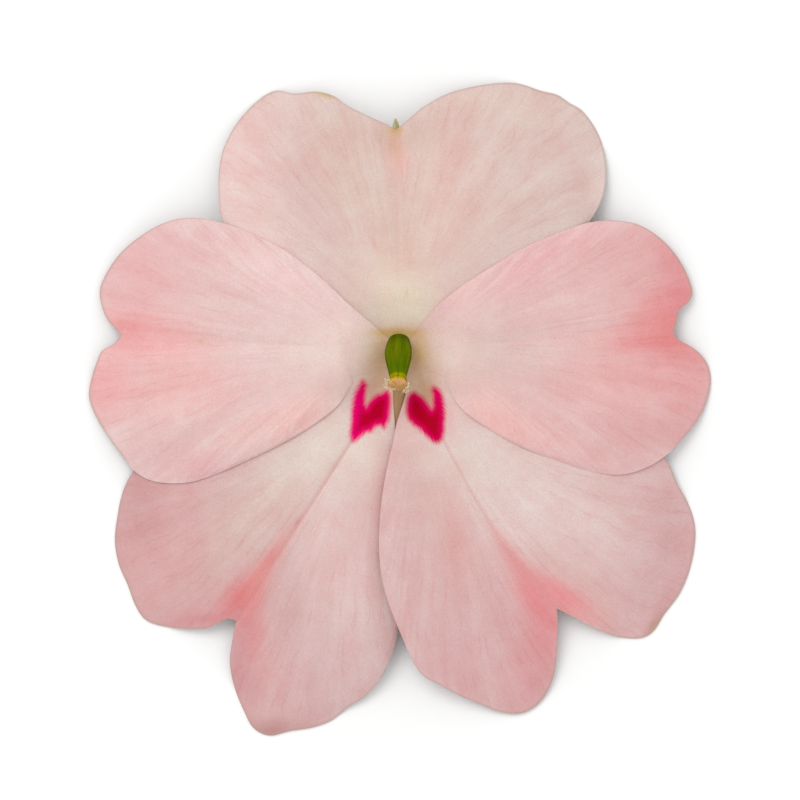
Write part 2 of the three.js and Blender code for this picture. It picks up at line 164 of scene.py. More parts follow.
# %% Light
world = bpy.data.worlds.new("studio")
world.use_nodes = True
world.node_tree.nodes["Background"].inputs["Color"].default_value = (1, 1, 1, 1)
world.node_tree.nodes["Background"].inputs["Strength"].default_value = 0.86
bpy.context.scene.world = world

lamp_data = bpy.data.lights.new("soft_lamp", "AREA")
lamp_data.shape = "DISK"
lamp_data.size = 0.5
lamp_data.energy = 1.7
lamp = bpy.data.objects.new("soft_lamp", lamp_data)
lamp.location = (-0.26, 0.36, 0.58)
lamp.rotation_mode = "QUATERNION"
lamp.rotation_quaternion = lamp.location.to_track_quat("Z", "Y")
bpy.context.scene.collection.objects.link(lamp)
print("lamp at", [round(c, 2) for c in lamp.location])

# %% [markdown]
# ## From arrays to pieces
#
# Every piece below is worked out with numpy as rows of points in millimetres and rows of corner
# numbers. One function turns them into a mesh, hangs it on the frame's root and hides the CAD parts
# it stands for.

# %% Lay a mesh
SHARP_ANGLE = 55.0  # edges that turn more than this stay crisp


def lay_mesh(name, points, faces, material, nodes, colours=None, numbers=None, fan=None):
    """One finished piece. Faces are turned outwards where the mesh's signed volume is negative.

    points: x, y, z in millimetres. faces: a list of arrays of corner numbers. colours and numbers:
    values for each point, under a name. fan: the piece's own UV, one pair for each point.
    """
    points = np.asarray(points, float).reshape(-1, 3) * MM
    volume = 0.0
    for part in faces:
        for k in range(1, part.shape[1] - 1):
            a, b, c = points[part[:, 0]], points[part[:, k]], points[part[:, k + 1]]
            volume += np.einsum("ij,ij->", a, np.cross(b, c))
    turned = [part[:, ::-1] if volume < 0 else part for part in faces]
    mesh = bpy.data.meshes.new(name)
    mesh.from_pydata(points.tolist(), [], [f for part in turned for f in part.tolist()])
    for key, value in (colours or {}).items():
        rows = np.concatenate([value.reshape(-1, 3), np.ones((len(points), 1))], axis=1)
        mesh.attributes.new(key, "FLOAT_COLOR", "POINT").data.foreach_set("color", rows.ravel())
    for key, value in (numbers or {}).items():
        value = np.asarray(value, float)
        vector = value.size == 3 * len(points)
        kind, what = ("FLOAT_VECTOR", "vector") if vector else ("FLOAT", "value")
        mesh.attributes.new(key, kind, "POINT").data.foreach_set(what, value.ravel())
    if fan is not None:
        corners = np.empty(len(mesh.loops), dtype=np.int32)
        mesh.loops.foreach_get("vertex_index", corners)
        mesh.uv_layers.new(name="fan").data.foreach_set("uv", fan.reshape(-1, 2)[corners].ravel())
    mesh.shade_smooth()
    mesh.set_sharp_from_angle(angle=np.radians(SHARP_ANGLE))
    mesh.materials.append(material)
    piece = bpy.data.objects.new(name, mesh)
    bpy.context.scene.collection.objects.link(piece)
    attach(piece, "root")
    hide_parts(*nodes)
    triangles = sum(len(part) * (part.shape[1] - 2) for part in faces)
    print(name, "has", triangles, "triangles")


print("edges that turn more than", SHARP_ANGLE, "degrees stay crisp")


# %% Grids and smooth steps
def grid_faces(rows, columns, closed=False):
    """Corner numbers of the quads of a grid of points; closed joins the last column to the first."""
    across = columns if closed else columns - 1
    j, i = np.meshgrid(np.arange(rows - 1), np.arange(across), indexing="ij")
    a, b = j * columns + i, j * columns + (i + 1) % columns
    return np.stack([a, b, b + columns, a + columns], axis=-1).reshape(-1, 4)


def smooth(t):
    """0 below 0, 1 above 1, and the even S-curve 3t^2 - 2t^3 between."""
    t = np.clip(t, 0, 1)
    return t * t * (3 - 2 * t)


def unit(vectors):
    """Each vector divided by its length."""
    return vectors / np.linalg.norm(vectors, axis=-1, keepdims=True)


print("a grid of 3 by 4 points has", len(grid_faces(3, 4)), "quads")

# %% [markdown]
# ## Curves through points
#
# A petal's outline is given by a few points, and a smooth curve runs through them. The centripetal
# Catmull-Rom curve is a good choice: it passes through every point and makes no loops where points
# are close. It is then measured, so that equal steps of s are equal lengths of margin.

# %% A smooth curve, measured by its length
def curve_points(points, shares, fine=40):
    """Points at the given shares of the length of a centripetal Catmull-Rom curve.

    Each span is a cubic with the slopes of the non-uniform Catmull-Rom rule, whose knots are spaced
    by the square root of the distance. The ends are continued by mirroring the second point.
    """
    p = np.asarray(points, float)
    p = np.vstack([2 * p[0] - p[1], p, 2 * p[-1] - p[-2]])
    gap = np.maximum(np.linalg.norm(np.diff(p, axis=0), axis=1), 1e-6)[:, None] ** 0.5
    a, b, c, d = p[:-3], p[1:-2], p[2:-1], p[3:]
    g0, g1, g2 = gap[:-2], gap[1:-1], gap[2:]
    slope_b = ((b - a) / g0 - (c - a) / (g0 + g1) + (c - b) / g1) * g1
    slope_c = ((c - b) / g1 - (d - b) / (g1 + g2) + (d - c) / g2) * g1
    t = (np.arange(fine) / fine)[:, None, None]
    spans = (b + slope_b * t + (3 * (c - b) - 2 * slope_b - slope_c) * t ** 2
             + (2 * (b - c) + slope_b + slope_c) * t ** 3)
    dense = np.vstack([spans.transpose(1, 0, 2).reshape(-1, p.shape[1]), p[-2]])
    length = np.concatenate([[0], np.cumsum(np.linalg.norm(np.diff(dense, axis=0), axis=1))])
    where = np.asarray(shares) * length[-1]
    return np.stack([np.interp(where, length, axis) for axis in dense.T], axis=-1)


print("half way round a bend:", curve_points([(0, 0), (1, 1), (2, 0)], [0.5]).round(2))

# %% [markdown]
# ## The petals' shape
#
# Each petal is a fan of lines from its seat, deep in the throat, to its margin. A point of it has
# two parameters: s runs round the margin from -1 to 1, with 0 at the notch, and rho runs from 0 at
# the seat to 1 at the margin. Its height comes from one field for each petal: highest by the throat's
# rim, falling to the table at the margin. Because the field depends on the place alone, petals that
# overlap keep their order everywhere.

# %% The petals' outlines
# Places are x, y or x, y, z in millimetres. claw and seat: the two ends of the line a petal grows
# from, for its height and for its surface. waist: the same line where a side petal leaves the throat.
# rim, reach, side: the height at the throat, the distance to where it would be 0 and the lift of the
# margins, each for the two sides. first and second: the margin before and after the notch. free: the
# part of s whose margin lies on the table. over: the petals beneath. The rest are heights, widths
# and counts of the creases, waves and bends that petal_surface describes.
UPPER = {
    "claw": [(-1.4, 8.4), (1.4, 8.4)], "seat": [(-1.1, 6.8, 5.0), (1.0, 6.8, 5.0)],
    "rim": (7.1, 7.1), "reach": (27.3, 27.3), "side": (0, 0),
    "crease": 0.28, "crease_width": 0.1, "fold": 0.04, "crown": 0.35, "bow": (0, 0), "waves": 4,
    "wave_height": 0.12,
    "first": [(-2.2, 7.55), (-5.0, 9.4), (-9.0, 12.05), (-15.2, 16.0), (-17.6, 18.6), (-18.1, 21.0),
              (-17.8, 25.8), (-15.6, 29.7), (-12.6, 32.0), (-10.6, 31.7), (-8.4, 31.9), (-6.6, 31.4),
              (-5.4, 30.5), (-1.5, 28.6), (-0.4, 28.0)],
    "second": [(-0.4, 28.0), (0.6, 28.8), (2.2, 30.2), (5.4, 31.9), (11.4, 32.8), (14.2, 32.0),
               (15.8, 31.6), (17.0, 30.8), (18.3, 30.0), (20.2, 26.9), (20.55, 22.4), (18.7, 18.5),
               (14.6, 15.2), (8.6, 11.5), (4.6, 9.0), (2.2, 7.55)],
}
LEFT_SIDE = {
    "claw": [(-1.5, 7.4), (-1.9, 4.4)], "seat": [(-1.0, 7.0, 5.2), (-0.5, 4.05, 4.6)],
    "waist": [(-3.7, 9.3), (-4.45, 2.98)],
    "rim": (7.65, 7.7), "reach": (29.6, 30.6), "side": (0.15, 0.75),
    "free": (-0.55, 0.38), "over": ("upper", "left_lower"),
    "crease": 0.12, "crease_width": 0.12, "fold": 0.02, "crown": 0.3, "bow": (0, 0), "waves": 4,
    "wave_height": 0.1,
    "first": [(-3.9, 9.5), (-5.3, 10.75), (-8.0, 13.3), (-12.0, 16.2), (-17.8, 18.7), (-21.2, 19.2),
              (-23.5, 18.75), (-26.0, 17.4), (-28.2, 15.5), (-29.7, 13.2), (-30.1, 12.0),
              (-29.9, 10.4), (-29.2, 8.9), (-28.3, 8.0), (-27.95, 7.5)],
    "second": [(-27.95, 7.5), (-28.6, 6.65), (-29.9, 5.9), (-30.4, 4.8), (-31.0, 2.9), (-31.2, 1.4),
               (-30.8, 0.0), (-29.7, -2.0), (-28.2, -4.1), (-26.7, -6.0), (-25.2, -6.95),
               (-23.4, -7.3), (-21.0, -7.2), (-18.4, -6.4), (-11.7, -3.3), (-8.5, -1.4), (-6.4, 0.2),
               (-5.65, 1.2), (-5.4, 2.1), (-5.2, 2.55), (-4.65, 2.9)],
}
RIGHT_SIDE = {
    "claw": [(1.5, 7.4), (1.9, 4.4)], "seat": [(1.0, 7.0, 5.2), (0.5, 4.05, 4.6)],
    "waist": [(3.25, 9.85), (4.3, 3.08)],
    "rim": (7.65, 7.7), "reach": (29.3, 29.9), "side": (0.25, 1.1),
    "free": (-0.52, 0.36), "over": ("upper", "right_lower"),
    "crease": 0.12, "crease_width": 0.12, "fold": 0.02, "crown": 0.3, "bow": (0, 0), "waves": 4,
    "wave_height": 0.1,
    "first": [(3.4, 10.05), (5.3, 11.7), (8.0, 13.55), (12.7, 16.3), (18.6, 18.65),
              (21.2, 18.95), (23.8, 18.55), (26.2, 17.1), (28.0, 15.0), (29.0, 13.0), (29.3, 11.8),
              (29.0, 10.9), (28.0, 10.05), (27.7, 9.0), (27.4, 7.8)],
    "second": [(27.4, 7.8), (27.8, 7.1), (29.4, 6.2), (30.6, 5.0), (31.15, 3.5), (31.0, 1.8),
               (30.2, -0.4), (28.8, -2.3), (26.8, -4.4), (24.5, -5.8), (22.0, -6.45), (19.5, -6.2),
               (16.0, -5.1), (12.0, -3.6), (8.3, -1.55), (6.6, -0.35), (5.55, 0.8),
               (5.1, 1.9), (4.95, 2.5), (4.5, 2.98)],
}
LEFT_LOWER = {
    "claw": [(-1.9, 4.0), (-1.1, 1.8)], "seat": [(-0.45, 4.4, 4.6), (-0.76, 2.1, 4.3)],
    "rim": (6.9, 6.3), "reach": (29.6, 39.5), "side": (-0.9, -1.4),
    "crease": 0.2, "crease_width": 0.09, "fold": 0.04, "crown": 0.3, "bow": (0, 0), "waves": 5,
    "wave_height": 0.1,
    "first": [(-4.9, 3.17), (-6.4, 2.7), (-10.0, 1.5), (-16.0, -0.55), (-21.5, -2.5), (-25.0, -4.3),
              (-26.7, -6.1), (-27.8, -8.2), (-28.4, -11.0), (-28.6, -13.2), (-28.2, -15.5),
              (-27.3, -17.6), (-26.6, -19.5), (-25.8, -20.8), (-25.1, -21.3), (-23.4, -21.75),
              (-21.0, -21.95), (-19.2, -21.8), (-17.1, -20.85), (-16.4, -21.1)],
    "second": [(-16.4, -21.1), (-16.7, -22.6), (-17.05, -25.2), (-16.6, -27.8), (-15.7, -30.1),
               (-14.7, -31.9), (-13.2, -32.65), (-11.0, -32.2), (-8.8, -31.85), (-6.8, -31.1),
               (-5.1, -29.7), (-3.8, -28.95), (-2.2, -27.2), (-0.9, -24.7), (-0.2, -22.0),
               (0.0, -19.0), (-0.2, -15.0), (-0.4, -10.0), (-0.4, -5.5), (-0.48, -2.0),
               (-0.6, -0.4), (-0.68, 1.0)],
}
RIGHT_LOWER = {
    "claw": [(1.9, 4.0), (1.1, 1.8)], "seat": [(0.45, 4.4, 4.6), (0.8, 2.2, 4.35)],
    "rim": (6.9, 7.0), "reach": (31.6, 37.0), "side": (-1.1, 0.5),
    "crease": 0.2, "crease_width": 0.09, "fold": 0.02, "crown": 0.3, "bow": (-0.85, -0.6), "waves": 5,
    "wave_height": 0.1,
    "first": [(4.7, 3.3), (6.2, 2.85), (10.0, 1.6), (16.0, -0.2), (21.5, -2.0), (25.0, -3.5),
              (26.7, -5.0), (27.8, -7.4), (29.0, -9.6), (29.6, -11.7), (29.5, -14.0), (28.9, -16.5),
              (28.0, -18.5), (26.5, -20.5), (25.4, -22.2), (24.3, -22.85), (22.2, -22.8),
              (19.6, -21.9), (17.3, -20.7), (15.7, -19.85)],
    "second": [(15.7, -19.85), (15.8, -21.5), (15.75, -23.8), (15.5, -26.2), (14.8, -28.2),
               (13.5, -29.8), (11.9, -30.45), (9.8, -30.2), (8.1, -29.5), (6.0, -28.6), (3.8, -27.4),
               (2.4, -26.65), (1.1, -24.8), (0.4, -23.1), (-0.2, -21.7), (-1.2, -19.1),
               (-1.85, -16.5), (-2.1, -13.5), (-1.95, -10.0), (-1.5, -6.8), (-0.85, -3.7),
               (-0.38, -1.5), (0.12, 0.0), (0.46, 1.1)],
}
PETALS = {"upper": UPPER, "left_side": LEFT_SIDE, "right_side": RIGHT_SIDE,
          "left_lower": LEFT_LOWER, "right_lower": RIGHT_LOWER}
PAIRS = {"left": (LEFT_SIDE, LEFT_LOWER), "right": (RIGHT_SIDE, RIGHT_LOWER)}
SEEDS = {name: SURFACE_SEED + k for k, name in enumerate(PETALS)}


def side_of(name):
    """Which side of the bloom a petal is on: left, right or upper."""
    return name.split("_")[0]


print(len(PETALS), "petals")

# %% [markdown]
# ## How high a petal is
#
# Seen from the side, a petal comes up out of the throat, bends over the rim and falls to the table.
# It could be sculpted by hand. A formula of the distance from the claw is smoother, and one can see
# from its few numbers how high each petal stands.

# %% Height of a petal
MARGIN_FALL = 1.7  # power of the fall from the throat's rim to the margin
SPREAD = 0.84  # the angle from a petal's axis to its side margin, in radians
SIDE_REACH = 25.0  # where the lift of a side margin has its full height
RISE = 6.0  # how far from its seat a petal has come out of the throat


def petal_height(petal, x, y):
    """The rim's height times 1 - (distance / reach)^1.7, plus the lift of the side margin."""
    a, b = np.array(petal["claw"], float)
    centre, across = (a + b) / 2, b - a
    notch = np.array(petal["second"][0]) - centre
    axis = np.arctan2(notch[1], notch[0])
    handed = np.sign(np.cos(axis) * across[1] - np.sin(axis) * across[0])
    distance = np.hypot(x - centre[0], y - centre[1])
    angle = np.arctan2(y - centre[1], x - centre[0]) - axis
    turn = np.clip(handed * np.arctan2(np.sin(angle), np.cos(angle)) / SPREAD, -1, 1)
    rim = petal["rim"][0] + (petal["rim"][1] - petal["rim"][0]) * (turn + 1) / 2
    reach = petal["reach"][0] + (petal["reach"][1] - petal["reach"][0]) * (turn + 1) / 2
    side = np.where(turn < 0, petal["side"][0], petal["side"][1])
    return (rim * (1 - (distance / reach) ** MARGIN_FALL)
            + side * (np.abs(turn) * distance / SIDE_REACH) ** 1.5)


def petal_field(petal, x, y):
    """The height over a place: from the seat's to the petal's, as an S-curve of the distance."""
    a, b = np.array(petal["seat"], float)
    along = b[:2] - a[:2]
    share = np.clip(((x - a[0]) * along[0] + (y - a[1]) * along[1]) / (along @ along), 0, 1)
    distance = np.hypot(x - a[0] - share * along[0], y - a[1] - share * along[1])
    low = a[2] + share * (b[2] - a[2])
    return low + (petal_height(petal, x, y) - low) * smooth(distance / RISE)


print("the upper petal 20 mm up is", round(float(petal_height(UPPER, 0.0, 20.0)), 2), "mm high")

# %% [markdown]
# ## Two petals grown together
#
# On each side, the side petal and the lower petal are one sheet at the claw and part further out. One
# mesh for both would need a branching grid. Two meshes that take the same height near their joint look
# just as grown together and keep simple grids.

# %% The joint of a side's two petals
JOINT_HALF_WIDTH = 2.0
JOINT_UNDER, JOINT_OVER = 0.05, 0.1  # the side petal's slip along the joint and past its end


def joint(pair, x, y):
    """How near a place is to the joint, its share of the side petal, and whether it is past the end.

    The two petals of a side are one sheet in the throat. Their joint runs from the seat to the
    place where the margins part. Across it the share changes from 0 to 1 as an S-curve. Round its
    end, from 0.95 of its length, the nearness falls from 1 to 0, and from 0.93 a place is past it.
    """
    a, b = np.array(pair[1]["seat"][0][:2]), np.array(pair[1]["first"][0])
    length = np.linalg.norm(b - a)
    ux, uy = (b - a) / length
    along = ((x - a[0]) * ux + (y - a[1]) * uy) / length
    above = ((y - a[1]) * ux - (x - a[0]) * uy) * np.sign(ux)
    near = 1 - smooth((np.hypot(x - a[0], y - a[1]) / length - 0.95) / 1.5)
    return near, smooth(0.5 + above / (2 * JOINT_HALF_WIDTH)), above, smooth((along - 0.93) / 0.1)


def joined_field(petal, pair, x, y):
    """Near the joint both petals take one height, from the lower petal's to the side petal's.

    The side petal slips 0.05 mm under the lower one along the joint, and past its end comes up over it.
    """
    own = petal_field(petal, x, y)
    if pair is None:
        return own
    near, share, above, past = joint(pair, x, y)
    low, high = petal_field(pair[1], x, y), petal_field(pair[0], x, y)
    own = own + (low + (high - low) * share - own) * near
    slip = JOINT_OVER * past - JOINT_UNDER * (1 - past) * smooth((0.6 - above) / 1.2)
    return own + slip * near if petal is pair[0] else own


print("joints of", " and ".join(PAIRS), "petals ready")

# %% [markdown]
# ## A petal's surface
#
# A petal isn't a flat sheet. A crease runs from the claw to the notch, fine pleats follow the veins,
# and the margin is a little wavy. Noise would put such forms anywhere, so each one is a formula of s
# and rho, and runs the way the petal grew.

# %% Places on a petal
THROAT_Y, THROAT_RADIUS = 5.5, 6.0


def from_throat(x, y):
    """How far a place is from the throat's middle."""
    return np.hypot(x, y - THROAT_Y)


def fold_distance(x, y):
    """How far a point is from the line to the notch, on its own row of the grid."""
    middle = x.shape[1] // 2
    return np.hypot(x - x[:, middle:middle + 1], y - y[:, middle:middle + 1])


def vein_place(s, rho):
    """The vein that passes a point: s divided by 0.62 + 0.38 rho, so veins bend outwards."""
    return s / (0.62 + 0.38 * rho)


print("the upper petal's notch is", from_throat(*UPPER["first"][-1]).round(1), "mm from the throat")

# %% Surface of a petal
WAIST_RHO, WAIST_BLEND = 0.15, 0.16  # where a side petal starts to spread, and over how much of rho
FOLD_WIDTH = 0.3
PLEAT_COUNTS, PLEAT_HEIGHT = (9, 14, 23), 0.42


def petal_surface(petal, pair, s, rho, seed):
    """The middle surface: fan lines from the seat through the waist to the margin.

    A line is straight before and after the waist and turns there along an S-curve. Bow bends the
    middle lines sideways by 6.75 rho^2 (1 - rho), which is 1 at its highest. A broad valley along
    s = 0 is exp(-|s| / width) times 2.6 rho (1 - rho^2) deep, and a sharp fold in it
    exp(-distance / width). The crown lifts each half's middle by a sine, waves run along the
    margin, and pleats are cosines of the vein coordinate that grow outwards.
    """
    first = curve_points(petal["first"], 1 + np.minimum(s[0], 0))
    second = curve_points(petal["second"], np.maximum(s[0], 0))
    edge = np.where(s[0][:, None] < 0, first, second)
    a, b = np.array(petal["seat"], float)
    half = (s[0][:, None] + 1) / 2
    seat = (a + (b - a) * half)[:, :2]
    straight = seat + (edge - seat) * WAIST_RHO
    ends = np.array(petal.get("waist", (straight[0], straight[-1])), float)
    waist = ends[0] + (ends[1] - ends[0]) * half if "waist" in petal else straight
    rho = rho[..., None]
    before = seat + (waist - seat) * rho / WAIST_RHO
    after = waist + (edge - waist) * (rho - WAIST_RHO) / (1 - WAIST_RHO)
    place = before + (after - before) * smooth(0.5 + (rho - WAIST_RHO) / WAIST_BLEND)
    bend = 6.75 * rho ** 2 * (1 - rho) * ((1 - s ** 2) ** 2)[..., None]
    place = place + np.array(petal["bow"]) * bend
    x, y, rho = place[..., 0], place[..., 1], rho[..., 0]
    arch = 4 * rho * (1 - rho)
    z = joined_field(petal, pair, x, y)
    out = smooth((from_throat(x, y) - THROAT_RADIUS) / 5)
    valley = np.exp(-np.abs(s) / petal["crease_width"]) * 2.6 * rho * (1 - rho ** 2)
    z -= petal["crease"] * valley * out
    z -= petal["fold"] * np.exp(-fold_distance(x, y) / FOLD_WIDTH) * out * smooth((1.02 - rho) / 0.25)
    z += petal["crown"] * np.sin(np.pi * np.abs(s)) * arch * out
    z += petal["wave_height"] * np.sin(petal["waves"] * np.pi * s) * rho ** 3 * arch
    random = np.random.default_rng(seed)
    for count in PLEAT_COUNTS:
        phase, drift = random.uniform(0, 2 * np.pi), random.uniform(-1.5, 1.5)
        pleat = np.cos(np.pi * count * vein_place(s, rho) + phase + drift * rho)
        z += PLEAT_HEIGHT / count * pleat * smooth((rho - 0.25) / 0.5) * out
    return np.stack([x, y, z], axis=-1)


ACROSS, ALONG = 260, 96  # cells of one petal's face: about 0.3 mm each
across_s = np.linspace(-1, 1, ACROSS + 1)
along_rho = np.linspace(0, 1, ALONG + 1) ** 1.2
S, RHO = np.meshgrid(across_s, along_rho)
print("one petal's face has", S.size, "points")

# %% [markdown]
# ## Petals that lie on petals
#
# A petal is soft, so where it covers another one its outer part rests on it, and only a thin shade
# shows along its margin. The gap beneath each point of the margin is measured, and the surface is let
# down by as much at the margin and by less and less inwards, where the petal keeps its arch.

# %% Margins that rest on another petal
CONTACT = 0.31  # between the middle surfaces of a margin and of the petal it rests on
CELL_REACH = 0.4  # a margin point farther than this from every point below lies beside the petal
MARGIN_CELLS = 13  # the drop is evened out over this many points of the margin


def drop_onto(margin, below):
    """How far each margin point can drop until it rests on the petal below, or 0 beside it.

    The petal's height is read at its grid point nearest in x and y. The drops are then evened out
    by a running mean, and kept from growing, so that nothing is pushed through the petal below.
    """
    cells = below.reshape(-1, 3)
    flat = np.hypot(margin[:, :1] - cells[:, 0], margin[:, 1:2] - cells[:, 1])
    gap = margin[:, 2] - cells[flat.argmin(axis=1), 2] - CONTACT
    drop = np.where(flat.min(axis=1) < CELL_REACH, np.maximum(0, gap), 0)
    even = np.convolve(drop, np.ones(MARGIN_CELLS) / MARGIN_CELLS, mode="same")
    return np.where(drop > 0, np.minimum(even, drop), even)


def settled_surface(name):
    """A petal's middle surface; a side petal's outer part rests on the two petals beneath it."""
    petal = PETALS[name]
    middle = petal_surface(petal, PAIRS.get(side_of(name)), S, RHO, SEEDS[name])
    for other in petal.get("over", ()):
        drop = drop_onto(middle[-1], settled_surface(other))
        print(name, "drops", drop.max().round(2), "mm onto", other)
        middle[..., 2] -= drop * smooth((RHO - 0.45) / 0.55)
    return middle


# %% [markdown]
# ## The petals' colour
#
# The bloom is a pale blush. It is paler and creamier towards the throat, pinker at the lobes, and
# coral beside each notch and along the lower creases. Such colour has no edges, so it is laid on like
# washes of water-colour: each wash is one colour, strongest at its middle and fading as a bell curve.

# %% Washes of colour
def bell(x, y, middle, radii, turn=0.0):
    """exp(-(u / a)^2 - (v / b)^2), where u and v are x and y turned by an angle in degrees."""
    angle = np.radians(turn)
    dx, dy = x - middle[0], y - middle[1]
    u = dx * np.cos(angle) + dy * np.sin(angle)
    v = dy * np.cos(angle) - dx * np.sin(angle)
    return np.exp(-(u / radii[0]) ** 2 - (v / radii[1]) ** 2)


def band(place, middle, width):
    """exp(-((place - middle) / width)^2): a stripe that fades to both sides."""
    return np.exp(-((place - middle) / width) ** 2)


def coat(colour, like):
    """One sRGB colour for every point of a grid, which is given by one of its value arrays."""
    return np.broadcast_to(shade(colour), like.shape + (3,))


def wash(ground, colour, share):
    """The ground colour with a share of another laid over it."""
    return ground + (shade(colour) - ground) * np.clip(share, 0, 1)[..., None]


def washed(colour, like, *layers):
    """A coat of one colour and one wash after another over it, each a colour and its share."""
    tint = coat(colour, like)
    for layer, share in layers:
        tint = wash(tint, layer, share)
    return tint


print("at its radius a wash has", bell(1.0, 0.0, (0, 0), (1, 1)).round(2), "of its strength")

# %% The petals' washes
# A thin line along each petal's fold, partly the crease's own pink and partly painted shade in the
# crease: colour and strength, faint on the petals that aren't named.
FOLD_LINES = {"left_lower": ("#c68b88", 0.36), "right_lower": ("#d69c9a", 0.36)}
FAINT_FOLD_LINE = ("#d9b0a8", 0.12)
FOLD_LINE_WIDTH, FOLD_LINE_START = 0.32, 6.5  # and how far from the throat it starts
GROUNDS = {"upper": "#d4bcb5", "left_side": "#dcbdba", "right_side": "#e0bbb9",
           "left_lower": "#cfadab", "right_lower": "#d7b3b1"}
